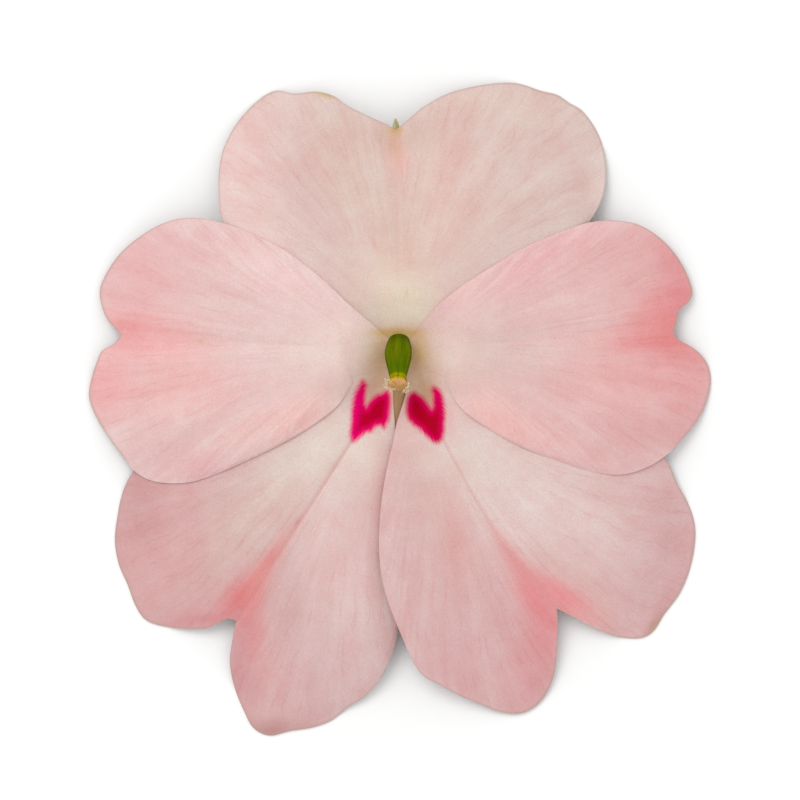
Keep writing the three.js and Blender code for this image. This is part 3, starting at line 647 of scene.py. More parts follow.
# Each wash: colour, strength, middle in millimetres, radii in millimetres, turn in degrees.
WASHES = {
    "upper": [
        ("#dfc0bc", 0.9, (-16.5, 25.0), (6.0, 9.0), 0), ("#e4c8c4", 0.6, (-14.5, 16.5), (4.5, 3.0), -30),
        ("#ddbab0", 0.5, (4.0, 22.0), (5.0, 9.0), -20), ("#e4d2cc", 0.85, (20.3, 21.6), (1.3, 3.6), 0),
        ("#d9c5ba", 0.6, (10.5, 30.5), (6.0, 2.2), 0), ("#d3c4ba", 0.5, (-6.5, 29.0), (4.0, 2.2), 0),
        ("#dfa9a0", 0.75, (-0.1, 25.1), (1.0, 1.7), 0), ("#dfcab9", 0.8, (0.0, 14.0), (3.2, 5.0), 0),
        # The cream at 0.2, 10.4 is partly the base's own colour and partly painted light on its slope.
        ("#e2d8c0", 0.95, (0.2, 10.4), (3.0, 2.8), 0), ("#cba9a6", 0.45, (-9.5, 23.0), (3.0, 6.0), 20),
        ("#cdaea6", 0.5, (-5.0, 27.5), (4.0, 3.0), 20), ("#d0b1ab", 0.5, (7.0, 28.5), (5.0, 3.0), 0),
        ("#b79a52", 0.7, (-7.2, 31.6), (1.2, 0.3), -10), ("#cbada1", 0.5, (0.3, 17.5), (2.4, 5.5), 0),
        ("#c6b2a0", 0.6, (-1.3, 27.7), (1.2, 0.9), 0), ("#c9aea2", 0.6, (1.6, 27.4), (1.7, 1.4), 0),
        ("#cda286", 0.7, (-0.5, 26.8), (0.5, 1.5), 0), ("#c29c52", 0.95, (-0.4, 28.0), (0.55, 0.4), 0),
        ("#d98f86", 0.32, (-2.5, 16.4), (0.25, 0.7), 30), ("#d9a868", 0.35, (0.7, 11.6), (0.12, 0.3), 10),
        ("#cfb2a2", 0.45, (-5.5, 23.5), (2.5, 3.5), 20), ("#cba896", 0.4, (-0.8, 26.4), (1.6, 1.2), 0),
    ],
    "left_side": [
        ("#e29f9d", 0.95, (-26.5, 7.8), (4.5, 2.6), -12), ("#e5adab", 0.75, (-23.5, 6.0), (5.0, 3.0), -15),
        ("#ddacac", 0.9, (-26.2, 13.6), (4.4, 4.0), 45), ("#e4a5a6", 0.85, (-29.5, 2.6), (3.0, 3.6), 5),
        ("#e6b2b0", 0.6, (-22.0, 1.5), (6.0, 3.0), 10), ("#e1cbc5", 0.8, (-7.5, 6.5), (6.5, 3.6), 8),
        ("#e9cdca", 0.6, (-12.5, 14.0), (6.0, 2.6), -28), ("#e9c0bb", 0.7, (-11.0, -0.5), (7.0, 2.0), 25),
        # The pale wash at -4.3, 8.3 is painted light where the petal slopes into the throat.
        ("#efd8d0", 0.7, (-4.3, 8.3), (2.4, 1.8), 0), ("#d9b0b0", 0.35, (-21.0, 16.5), (7.0, 2.6), 15),
        ("#d9a6a8", 0.5, (-20.5, -5.5), (6.0, 2.0), -5), ("#eab9b4", 0.75, (-8.2, 0.1), (3.4, 1.5), 40),
        ("#e3cdca", 0.7, (-28.8, -3.4), (2.0, 2.0), 0), ("#b9a040", 0.6, (-19.8, 6.8), (0.16, 0.16), 0),
        ("#db9190", 0.4, (-27.0, 8.2), (1.8, 1.2), 0),
    ],
    "right_side": [
        ("#e28889", 0.95, (27.3, 9.5), (3.4, 3.6), 60), ("#e49f9d", 0.7, (24.6, 7.6), (4.4, 2.4), 15),
        ("#e1a2a2", 0.85, (28.5, 3.0), (4.5, 4.5), 0), ("#e3acab", 0.7, (21.5, 2.0), (6.0, 4.0), -15),
        ("#dba7a7", 0.65, (23.0, 15.6), (7.0, 3.6), -20), ("#d6bbb5", 0.9, (8.0, 6.0), (7.0, 3.8), -8),
        ("#e1bdba", 0.5, (6.5, 11.0), (3.5, 1.6), 40), ("#e8b7b3", 0.7, (11.5, -1.5), (6.0, 1.8), -25),
        ("#d8a7a7", 0.55, (24.0, -2.6), (6.0, 2.6), 15), ("#dd8f92", 0.6, (28.2, 12.5), (2.0, 3.6), 10),
        ("#dc8482", 0.7, (27.6, 7.2), (3.0, 2.2), 0), ("#ebb8b3", 0.75, (8.2, 0.0), (3.4, 1.5), -40),
        ("#e2adb2", 0.6, (13.2, 14.6), (3.4, 1.2), 38), ("#da8a8b", 0.5, (27.0, 15.6), (3.0, 1.2), -45),
        ("#de8686", 0.5, (25.0, 6.9), (4.0, 0.8), 10),
    ],
    "left_lower": [
        ("#d2a3a2", 0.95, (-24.5, -13.0), (7.0, 9.5), 0), ("#dac7be", 0.95, (-9.0, -5.0), (8.0, 4.2), 32),
        ("#d5bcb2", 0.6, (-14.5, -11.5), (6.5, 2.6), 45), ("#db7c7c", 0.95, (-16.0, -19.0), (3.4, 1.6), 48),
        ("#da8988", 0.8, (-14.9, -22.0), (1.5, 4.2), 0), ("#e1bcb9", 0.6, (-6.0, -14.0), (3.5, 7.0), -12),
        ("#dcaeae", 0.6, (-12.5, -27.0), (3.6, 4.0), 0), ("#d6b4b3", 0.7, (-5.0, -27.0), (4.5, 4.5), 30),
        ("#dfcdc5", 0.9, (-3.0, -3.5), (2.4, 4.0), -10), ("#cf9c98", 0.75, (-1.6, -9.5), (1.1, 5.0), 3),
        ("#c98f93", 0.6, (-16.2, -26.5), (1.9, 6.5), 0), ("#e0c6c1", 0.5, (-7.5, -10.0), (3.6, 5.0), -35),
        ("#cf9a9b", 0.5, (-21.0, -20.5), (4.5, 2.2), 0), ("#e0c5c1", 0.6, (-5.0, -19.0), (4.0, 6.0), 0),
        ("#bf9292", 0.52, (-26.2, -9.0), (2.6, 4.5), 0), ("#b98b88", 0.85, (-13.0, -32.3), (3.2, 1.2), 0),
        ("#decdc4", 0.85, (-6.5, -3.6), (4.5, 3.6), 35),
        ("#de8e8b", 0.75, (-13.3, -15.4), (0.7, 3.6), -32),
        ("#cf7f84", 0.45, (-19.5, -20.9), (2.6, 0.6), 8),
        ("#a98a86", 0.5, (-10.25, -11.1), (0.12, 0.45), -25),
    ],
    "right_lower": [
        ("#e0cac4", 0.95, (12.0, -7.5), (8.5, 5.5), -28), ("#dec1bd", 0.7, (19.0, -13.0), (6.0, 5.0), -35),
        ("#cfa6a6", 0.9, (27.5, -15.0), (4.0, 8.5), -15), ("#e08084", 0.92, (13.9, -19.6), (1.7, 4.2), 33),
        ("#e49898", 0.72, (17.0, -19.3), (3.8, 1.7), -30), ("#d3b1ab", 0.75, (2.0, -6.0), (2.4, 5.0), 12),
        ("#d6a9a9", 0.7, (7.0, -24.5), (5.5, 5.0), 0), ("#d99fa1", 0.8, (13.0, -26.0), (2.4, 4.6), 0),
        ("#ddc9c1", 0.85, (5.0, -4.2), (2.6, 2.8), 0), ("#c58e90", 0.6, (26.3, -19.8), (0.8, 3.2), -32),
        ("#e0c6c2", 0.5, (10.5, -10.5), (2.6, 4.5), 30), ("#a07c54", 0.6, (25.6, -21.6), (0.35, 1.2), -40),
        ("#ddcbc3", 0.8, (7.5, -5.0), (4.5, 4.0), -35), ("#d19698", 0.5, (14.2, -25.0), (1.8, 4.5), 0),
        ("#e2cac6", 0.5, (17.0, -10.5), (6.0, 3.2), -30), ("#d8b4b4", 0.4, (24.0, -15.5), (3.2, 4.0), 0),
        # The coral band at 11.8, -15.6 beside the fold is partly its own coral and partly painted shade.
        ("#e08e8d", 0.6, (11.8, -15.6), (0.8, 4.2), 33), ("#e0c9c3", 0.5, (10.0, -10.0), (1.6, 3.0), 35),
        ("#d9a3a1", 0.4, (5.5, -11.0), (1.6, 5.0), 15), ("#d8a5a0", 0.35, (5.6, -15.5), (2.2, 4.0), 10),
        ("#e57c7e", 0.5, (16.0, -18.2), (2.2, 0.9), -35), ("#e08a8c", 0.4, (14.3, -22.8), (1.5, 2.6), 5),
    ],
}
# Deep in the throat every petal is tinged with ochre, the same on all of them. The ochre is partly the
# tissue's own colour and partly painted shade: round the ovary, above its wide end and in the hollow
# between each mark's arms. The three thin pale strokes are painted highlights on shiny folds.
THROAT_TINT_AND_PAINTED_LIGHT = [("#e0cdc0", 0.85, (0.0, 4.2), (6.2, 3.6), 0), ("#cca67a", 0.6, (0.0, 4.2), (2.8, 2.8), 0),
          ("#bf9658", 0.4, (-1.8, 5.4), (1.2, 1.4), 0), ("#bf9648", 0.44, (1.7, 5.6), (1.2, 1.3), 0),
          ("#c6a040", 0.62, (-0.2, 7.7), (2.3, 0.45), 0), ("#c49a82", 0.6, (-2.9, 1.6), (0.8, 1.2), 0),
          ("#ba8c74", 0.75, (2.8, 1.4), (0.7, 1.4), 0), ("#dcc8b4", 0.8, (2.5, 3.3), (0.2, 0.95), 14),
          ("#d9c2ac", 0.75, (1.6, 2.5), (0.28, 0.6), -8), ("#d6c0ac", 0.6, (-2.1, 2.7), (0.2, 0.7), -24),
          ("#c09a60", 0.35, (-1.7, 7.1), (0.9, 0.9), 0), ("#c49e68", 0.35, (1.7, 7.1), (0.9, 0.9), 0),
          ("#c5a07c", 0.5, (-2.0, 3.0), (1.3, 1.3), 0), ("#bf9a72", 0.5, (2.3, 2.2), (1.3, 1.6), 0),
          ("#d9a0a4", 0.45, (4.95, -1.0), (0.45, 1.6), 0)]
print(sum(len(w) for w in WASHES.values()), "washes, and", len(THROAT_TINT_AND_PAINTED_LIGHT), "in the throat")


# %% Painting a petal
def painted(name, x, y):
    """The ground colour, its washes and the throat's ochre and painted light, in sRGB."""
    tint = coat(GROUNDS[name], x)
    for colour, strength, middle, radii, turn in WASHES[name] + THROAT_TINT_AND_PAINTED_LIGHT:
        tint = wash(tint, colour, strength * bell(x, y, middle, radii, turn))
    return tint


def petal_tint(name, x, y):
    """The painted colour, shared by both petals near their joint, with the line along the fold."""
    tint = painted(name, x, y)
    side = side_of(name)
    if side in PAIRS:
        near, share = joint(PAIRS[side], x, y)[:2]
        low, high = painted(side + "_lower", x, y), painted(side + "_side", x, y)
        tint += (low + (high - low) * share[..., None] - tint) * near[..., None]
    line, line_strength = FOLD_LINES.get(name, FAINT_FOLD_LINE)
    out = smooth((from_throat(x, y) - FOLD_LINE_START) / 3)
    return wash(tint, line, line_strength * out * band(fold_distance(x, y), 0, FOLD_LINE_WIDTH))


print("upper petal, 20 mm up:", painted("upper", np.zeros((1, 1)), np.full((1, 1), 20.0)).round(2))

# %% [markdown]
# ## The guide marks
#
# Two crimson marks, one on each side of the throat, point the way to the nectar. Each has the shape
# of a tick with two arms. Their edge is feathered, so the mesh only carries the distance to the edge,
# and the material frays it with fine noise.

# %% Distance to a guide mark
LEFT_MARK = [(-4.0, 2.35), (-3.72, 2.85), (-3.4, 2.5), (-3.5, 2.0), (-3.58, 1.3), (-3.58, 0.7),
             (-3.35, 0.15), (-3.05, 0.65), (-2.6, 1.15), (-2.2, 1.45), (-1.75, 1.55), (-1.3, 1.85),
             (-1.05, 1.4), (-1.02, 0.7), (-1.08, -0.1), (-1.2, -0.8), (-1.45, -1.35), (-1.6, -1.7),
             (-1.9, -1.4), (-2.3, -1.45), (-2.7, -1.7), (-2.9, -2.0), (-3.4, -2.1), (-3.9, -2.5),
             (-4.3, -2.85), (-4.65, -3.05), (-4.82, -2.6), (-4.78, -1.8), (-4.72, -0.8), (-4.62, 0.3),
             (-4.5, 1.1), (-4.3, 1.8), (-4.1, 2.1)]
RIGHT_MARK = [(1.1, 1.6), (1.45, 1.7), (1.8, 1.45), (2.2, 1.2), (2.5, 0.8), (2.8, 0.4), (3.15, -0.05),
              (3.33, 0.2), (3.4, 1.0), (3.35, 1.7), (3.22, 1.95), (3.38, 2.2), (3.65, 2.1), (3.88, 1.9),
              (4.02, 1.6), (4.15, 1.3), (4.25, 0.8), (4.33, 0.0), (4.35, -1.0), (4.28, -2.0),
              (4.12, -2.8), (3.8, -3.15), (3.4, -3.1), (3.0, -2.85), (2.5, -2.3), (2.0, -1.8),
              (1.4, -1.4), (1.0, -0.95), (0.75, -0.45), (0.7, 0.1), (0.76, 0.7), (0.85, 1.2)]
MARKS = {"left": LEFT_MARK, "right": RIGHT_MARK}
NO_MARK = -9.0  # the depth where there is no mark near
# Where magenta shows through the crimson: middle, radii, strength.
MARK_GLOWS = [((-4.4, 0.6), (0.55, 2.6), 0.9), ((-4.5, -2.6), (0.8, 0.6), 0.5),
              ((4.0, 1.6), (0.4, 1.3), 0.4)]


def inside_by(outline, x, y):
    """Signed distance to a closed outline: positive inside, found by counting crossings."""
    corner = np.asarray(outline, float)
    following = np.roll(corner, -1, axis=0)
    span = following - corner
    near = np.full(x.shape, 1e9)
    inside = np.zeros(x.shape, bool)
    for (ax, ay), (dx, dy) in zip(corner, span):
        share = np.clip(((x - ax) * dx + (y - ay) * dy) / (dx * dx + dy * dy), 0, 1)
        near = np.minimum(near, np.hypot(x - ax - share * dx, y - ay - share * dy))
        crossed = (ay > y) != (ay + dy > y)
        inside ^= crossed & (x < ax + (y - ay) * dx / (dy if dy else 1e-9))
    return np.where(inside, near, -near)


def mark_colour(depth, x, y):
    """Magenta at the edge and crimson in the middle, deeper on the right, with a few glows."""
    right = (x > 0)[..., None]
    rim = np.where(right, shade("#cf0052"), shade("#de005e"))
    core = np.where(right, shade("#ac0022"), shade("#b6002a"))
    share = smooth((depth - 0.12) / 0.7)
    colour = rim + (core - rim) * share[..., None]
    for middle, radii, strength in MARK_GLOWS:
        colour = wash(colour, "#e60274", strength * bell(x, y, middle, radii))
    return colour


print("marks drawn from", len(LEFT_MARK), "and", len(RIGHT_MARK), "points")

# %% [markdown]
# ## The petals' material
#
# A petal is a few layers of soft, wet cells. Light goes in and comes out a little further on, which
# is what subsurface scattering does. Its skin is made of tiny cones, so it is velvety, with no clear
# gloss. The mesh brings along its painted colour and the fan coordinates, the vein and rho, and the
# cells below build up the rest from them.

# %% Petal tissue
petal_mat, tree, out = new_material("petal_tissue")
tint = add(tree, "ShaderNodeAttribute", attribute_name="tint").outputs["Color"]
fan = add(tree, "ShaderNodeUVMap", uv_map="fan").outputs[0]
place = add(tree, "ShaderNodeTexCoord").outputs["Object"]
split = add(tree, "ShaderNodeSeparateXYZ", {0: fan})
vein_q, rho_v = split.outputs[0], split.outputs[1]
print("petal tissue begun, with", len(tree.nodes), "nodes")

# %% [markdown]
# ## Veins
#
# Fine veins run out from the claw and fork on their way to the margin. They could be drawn one by one
# as curves. Folding a coordinate does it in a few nodes: take |x|, take a quarter away and fold it
# again, and each vein has become two.

# %% Forked veins
MAIN_VEINS, VEIN_SWAY, VEIN_STRENGTH = 5.0, 0.055, 0.19
# Each fork: the rho where it starts, and what it takes away from the folded coordinate.
FORKS = ((0.12, 0.25), (0.34, 0.125), (0.6, 0.0625))
FORK_LENGTH = 0.28

# Veins are not ruled lines: slow noise (3 mm) moves them sideways a little.
sway = add(tree, "ShaderNodeTexNoise", {"Vector": place, "Scale": 330.0, "Detail": 2.0})
sway = add(tree, "ShaderNodeMath", {0: sway.outputs[0], 1: 0.5}, operation="SUBTRACT").outputs[0]
fold = add(tree, "ShaderNodeMath", {0: sway, 1: VEIN_SWAY, 2: vein_q},
           operation="MULTIPLY_ADD").outputs[0]
for operation, value in (("MULTIPLY", MAIN_VEINS), ("FLOORED_MODULO", 1.0), ("SUBTRACT", 0.5),
                         ("ABSOLUTE", 0.0)):
    fold = add(tree, "ShaderNodeMath", {0: fold, 1: value}, operation=operation).outputs[0]
for start, step in FORKS:
    part = add(tree, "ShaderNodeMapRange", {"Value": rho_v, "From Min": start,
                                            "From Max": start + FORK_LENGTH, "To Max": step},
               interpolation_type="SMOOTHSTEP").outputs[0]
    fold = add(tree, "ShaderNodeMath", {0: fold, 1: part}, operation="SUBTRACT").outputs[0]
    fold = add(tree, "ShaderNodeMath", {0: fold}, operation="ABSOLUTE").outputs[0]
# fold / 5 * 33 mm * rho is the distance to the vein in millimetres; a vein is 0.1 mm to each side.
width = add(tree, "ShaderNodeMath", {0: fold, 1: rho_v}, operation="MULTIPLY").outputs[0]
vein = add(tree, "ShaderNodeMapRange", {"Value": width, "From Min": 0.0, "From Max": 0.016,
                                        "To Min": 1.0, "To Max": 0.0},
           interpolation_type="SMOOTHSTEP").outputs[0]
broken = add(tree, "ShaderNodeTexNoise", {"Vector": place, "Scale": 420.0, "Detail": 1.0})
broken = add(tree, "ShaderNodeMapRange", {"Value": broken.outputs[0], "From Min": 0.4,
                                          "From Max": 0.62}).outputs[0]
vein = add(tree, "ShaderNodeMath", {0: vein, 1: broken}, operation="MULTIPLY").outputs[0]
print(2 * int(MAIN_VEINS), "main veins, each forking", len(FORKS), "times")

# %% [markdown]
# ## Streaks and grain
#
# Between the veins the pink isn't even. It lies in fine and broad streaks along the way the petal
# grew, in clouds, and cell by cell. Four noises do this. The two for the streaks take the fan
# coordinates, so that they follow the veins.

# %% Streaks, clouds and grain
# The streaks are 1 mm and 3 mm apart, and weaker by the throat, where the fan's lines come together.
# Clouds of 3 mm lie over both.
reach = add(tree, "ShaderNodeVectorMath", {0: place}, operation="LENGTH").outputs["Value"]
spread = add(tree, "ShaderNodeMapRange", {"Value": reach, "From Min": 0.004,
                                          "From Max": 0.014}).outputs[0]
from_seat = add(tree, "ShaderNodeMapRange", {"Value": rho_v, "From Min": 0.08, "From Max": 0.65,
                                             "To Max": 1.25}).outputs[0]
spread = add(tree, "ShaderNodeMath", {0: spread, 1: from_seat}, operation="MULTIPLY").outputs[0]
stretch = add(tree, "ShaderNodeMapping", {"Vector": fan, "Scale": (34.0, 3.4, 1.0)})
streak = add(tree, "ShaderNodeTexNoise", {"Vector": stretch.outputs[0], "Scale": 1.0, "Detail": 4.0,
                                          "Roughness": 0.62, "Distortion": 0.3}).outputs[0]
stretch = add(tree, "ShaderNodeMapping", {"Vector": fan, "Scale": (11.0, 2.1, 1.0)})
broad = add(tree, "ShaderNodeTexNoise", {"Vector": stretch.outputs[0], "Scale": 1.0, "Detail": 2.0,
                                         "Distortion": 0.5}).outputs[0]
cloud = add(tree, "ShaderNodeTexNoise", {"Vector": place, "Scale": 300.0, "Detail": 5.0,
                                         "Roughness": 0.7}).outputs[0]
# The skin's cells are 0.03 mm across, too fine to show, so their grain is drawn at 0.15 mm.
grain = add(tree, "ShaderNodeTexNoise", {"Vector": place, "Scale": 6500.0, "Detail": 1.0}).outputs[0]
print("streaks, clouds and grain added")

# %% The flush
# Each noise moves the flush up or down about its middle. The flush takes away green and blue light
# but hardly any red, so it makes the tissue pinker and not greyer.
PALE, ROSY = (1.03, 1.12, 1.12), (0.97, 0.86, 0.86)  # its two ends
STREAK_WEIGHT, CLOUD_WEIGHT, GRAIN_WEIGHT = 0.88, 1.5, 1.0
flush = streak
for operation, value in (("ADD", broad), ("SUBTRACT", 1.0), ("MULTIPLY", STREAK_WEIGHT)):
    flush = add(tree, "ShaderNodeMath", {0: flush, 1: value}, operation=operation).outputs[0]
flush = add(tree, "ShaderNodeMath", {0: flush, 1: spread, 2: 0.5}, operation="MULTIPLY_ADD").outputs[0]
for noise, weight in ((cloud, CLOUD_WEIGHT), (grain, GRAIN_WEIGHT)):
    part = add(tree, "ShaderNodeMath", {0: noise, 1: 0.5}, operation="SUBTRACT").outputs[0]
    flush = add(tree, "ShaderNodeMath", {0: part, 1: weight, 2: flush},
                operation="MULTIPLY_ADD").outputs[0]
pale = add(tree, "ShaderNodeVectorMath", {0: tint, 1: PALE}, operation="MULTIPLY").outputs[0]
rosy = add(tree, "ShaderNodeVectorMath", {0: tint, 1: ROSY}, operation="MULTIPLY").outputs[0]
colour = add(tree, "ShaderNodeMix", {"Factor": flush, "A": pale, "B": rosy},
             data_type="RGBA").outputs["Result"]
# A painted glint on each cell: the pinker cells are a little darker and the paler ones a little
# lighter, by up to 2 in 100.
glint = add(tree, "ShaderNodeMapRange", {"Value": grain, "From Min": 0.25, "From Max": 0.75,
                                         "To Min": 1.02, "To Max": 0.98}).outputs[0]
colour = add(tree, "ShaderNodeVectorMath", {0: colour, "Scale": glint}, operation="SCALE").outputs[0]
veined = add(tree, "ShaderNodeMath", {0: vein, 1: spread}, operation="MULTIPLY").outputs[0]
veined = add(tree, "ShaderNodeMath", {0: veined, 1: VEIN_STRENGTH}, operation="MULTIPLY").outputs[0]
dark = add(tree, "ShaderNodeVectorMath", {0: colour, 1: (0.85, 0.6, 0.62)}, operation="MULTIPLY")
colour = add(tree, "ShaderNodeMix", {"Factor": veined, "A": colour, "B": dark.outputs[0]},
             data_type="RGBA").outputs["Result"]
print("flush between", PALE, "and", ROSY)

# %% The margin's painted shade
# A greyish line 0.3 mm wide along the margin, where nothing lies under it: painted shade of the thin edge.
far = add(tree, "ShaderNodeAttribute", attribute_name="edge_shade").outputs["Fac"]
edge_shade = add(tree, "ShaderNodeMapRange", {"Value": rho_v, "From Min": 0.988, "From Max": 0.999,
                                       "To Max": 0.5}, interpolation_type="SMOOTHSTEP").outputs[0]
edge_shade = add(tree, "ShaderNodeMath", {0: edge_shade, 1: far}, operation="MULTIPLY").outputs[0]
colour = add(tree, "ShaderNodeMix", {"Factor": edge_shade, "A": colour, "B": rgba("#b09a90")},
             data_type="RGBA").outputs["Result"]
print("dry margin added")

# %% The guide marks' ink
# The guide marks: the distance to their edge, frayed by streaks, decides where they show.
depth = add(tree, "ShaderNodeAttribute", attribute_name="mark_depth").outputs["Fac"]
mark = add(tree, "ShaderNodeAttribute", attribute_name="mark_colour").outputs["Color"]
fringe = add(tree, "ShaderNodeMapping", {"Vector": fan, "Scale": (60.0, 30.0, 1.0)})
fray = add(tree, "ShaderNodeTexNoise", {"Vector": fringe.outputs[0], "Scale": 1.0, "Detail": 2.0})
fray = add(tree, "ShaderNodeMath", {0: fray.outputs[0], 1: 0.5}, operation="SUBTRACT").outputs[0]
edge = add(tree, "ShaderNodeMath", {0: fray, 1: 0.6, 2: depth}, operation="MULTIPLY_ADD").outputs[0]
inked = add(tree, "ShaderNodeMapRange", {"Value": edge, "From Min": -0.49, "From Max": 0.19},
            interpolation_type="SMOOTHSTEP").outputs[0]
colour = add(tree, "ShaderNodeMix", {"Factor": inked, "A": colour, "B": mark},
             data_type="RGBA").outputs["Result"]
print("guide marks inked")

# %% The petals' skin
# Streaks and grain stand out and veins lie lower, all by less than a twentieth of a millimetre.
relief = add(tree, "ShaderNodeMath", {0: streak, 1: 0.5, 2: grain}, operation="MULTIPLY_ADD").outputs[0]
relief = add(tree, "ShaderNodeMath", {0: vein, 1: -0.35, 2: relief},
             operation="MULTIPLY_ADD").outputs[0]
ease = add(tree, "ShaderNodeMapRange", {"Value": spread, "To Min": 0.06, "To Max": 0.4}).outputs[0]
bump = add(tree, "ShaderNodeBump", {"Height": relief, "Strength": ease, "Distance": 0.00005})
petal_skin = add(tree, "ShaderNodeBsdfPrincipled", {
    "Base Color": colour, "Roughness": 0.6, "IOR": 1.4, "Specular IOR Level": 0.03,
    "Subsurface Weight": 0.06, "Subsurface Radius": (1.0, 0.55, 0.45), "Subsurface Scale": 0.0005,
    "Normal": bump.outputs[0]})
tree.links.new(petal_skin.outputs[0], out.inputs["Surface"])
print("petal tissue has", len(tree.nodes), "nodes")

# %% [markdown]
# ## Making the petals
#
# A petal is a blade: its middle surface with half its thickness to each side. It is thinnest at the
# margin and fleshy at the seat. Where it would sink into the table it is lifted onto it.

# %% Blades
def blade(middle, thickness):
    """Upper and lower skin: half the thickness above and below the middle surface."""
    half = np.array([0, 0, 0.5]) * thickness
    lift = np.maximum(0, (half - middle)[..., 2:]) * [0, 0, 1]
    return middle + half + lift, middle - half + lift


def blade_faces(rows, columns):
    """The quads of both skins and of the wall that joins them all round."""
    n = rows * columns
    grid = np.arange(n).reshape(rows, columns)
    loop = np.concatenate([grid[0, :-1], grid[:-1, -1], grid[-1, :0:-1], grid[:0:-1, 0]])
    nxt = np.roll(loop, -1)
    wall = np.stack([nxt, loop, loop + n, nxt + n], axis=-1)
    top = grid_faces(rows, columns)
    return [top, top[:, ::-1] + n, wall]


def both_skins(upper, lower=None):
    """One row for each point of the upper skin and then of the lower, the same rows if not given."""
    rows = upper.shape[0] * upper.shape[1]
    lower = upper if lower is None else lower
    return np.concatenate([upper.reshape(rows, -1), lower.reshape(rows, -1)])


print("a petal has", sum(len(part) for part in blade_faces(*S.shape)), "quads")

# %% One petal
PETAL_THICKNESS = 0.34
MARGIN_SHARE = 0.4  # of the thickness, at the margin
SEAT_SWELL, SEAT_LENGTH = 0.3, 1.5  # how much thicker the seat is, and how fast that ends
KEEL_WIDTH, KEEL_DEPTH = 0.035, 0.7
EDGE_SHADE_START = 12.0  # how far from the middle the margin's painted shade starts; it is full at twice as far


def make_petal(name, node):
    """One petal: its surface, thickness, keel, washes, painted margin shade and guide mark distance."""
    side = side_of(name)
    middle = settled_surface(name)
    seat_distance = np.linalg.norm(middle - middle[0], axis=-1)
    thickness = PETAL_THICKNESS * (1 - (1 - MARGIN_SHARE) * smooth((RHO - 0.94) / 0.06))
    thickness = thickness + SEAT_SWELL * np.exp(-seat_distance / SEAT_LENGTH)
    high, low = blade(middle, thickness[..., None])
    keel = band(S, 0, KEEL_WIDTH) * smooth((RHO - 0.15) / 0.5) * (1 - smooth((RHO - 0.95) / 0.05))
    keel = keel * (name == "upper")
    low[..., 2] -= KEEL_DEPTH * keel
    x, y = middle[..., 0], middle[..., 1]
    tint = petal_tint(name, x, y)
    back = wash(wash(tint, "#e9d6d0", np.full(x.shape, 0.25)), "#a4a768", 0.8 * keel)
    nothing = np.full(x.shape, NO_MARK)
    depth = inside_by(MARKS[side], x, y) if side in MARKS else nothing
    # Painted shade along the margin: only on its free part, and fading in from 12 mm out.
    before, after = PETALS[name].get("free", (-2, 2))
    edge_shade = smooth((S - before) / 0.04) * smooth((after - S) / 0.04)
    edge_shade = edge_shade * smooth((np.hypot(x, y) - EDGE_SHADE_START) / EDGE_SHADE_START)
    lay_mesh(name + "_petal", both_skins(high, low), blade_faces(*S.shape), petal_mat, [node],
             colours={"tint": linear(both_skins(tint, back)),
                      "mark_colour": linear(both_skins(mark_colour(depth, x, y)))},
             numbers={"mark_depth": both_skins(depth, nothing), "edge_shade": both_skins(edge_shade)},
             fan=both_skins(np.stack([vein_place(S, RHO), RHO], axis=-1)))


print("petals are", PETAL_THICKNESS, "mm thick and", round(PETAL_THICKNESS * MARGIN_SHARE, 2),
      "mm at the margin")

# %% The five petals
for name in PETALS:
    make_petal(name, side_of(name) + "_petal_pair" if side_of(name) in PAIRS else "upper_petal")

# %% [markdown]
# ## Soft green tissue
#
# The ovary, stalk, sepals and spur are all juicy tissue under a thin waxy skin. Their materials are
# alike: a colour painted on the points, fine streaks along the piece, a grain of cells, and a soft
# gloss. Each piece carries "wrap", its own coordinates in millimetres, so the streaks follow it.

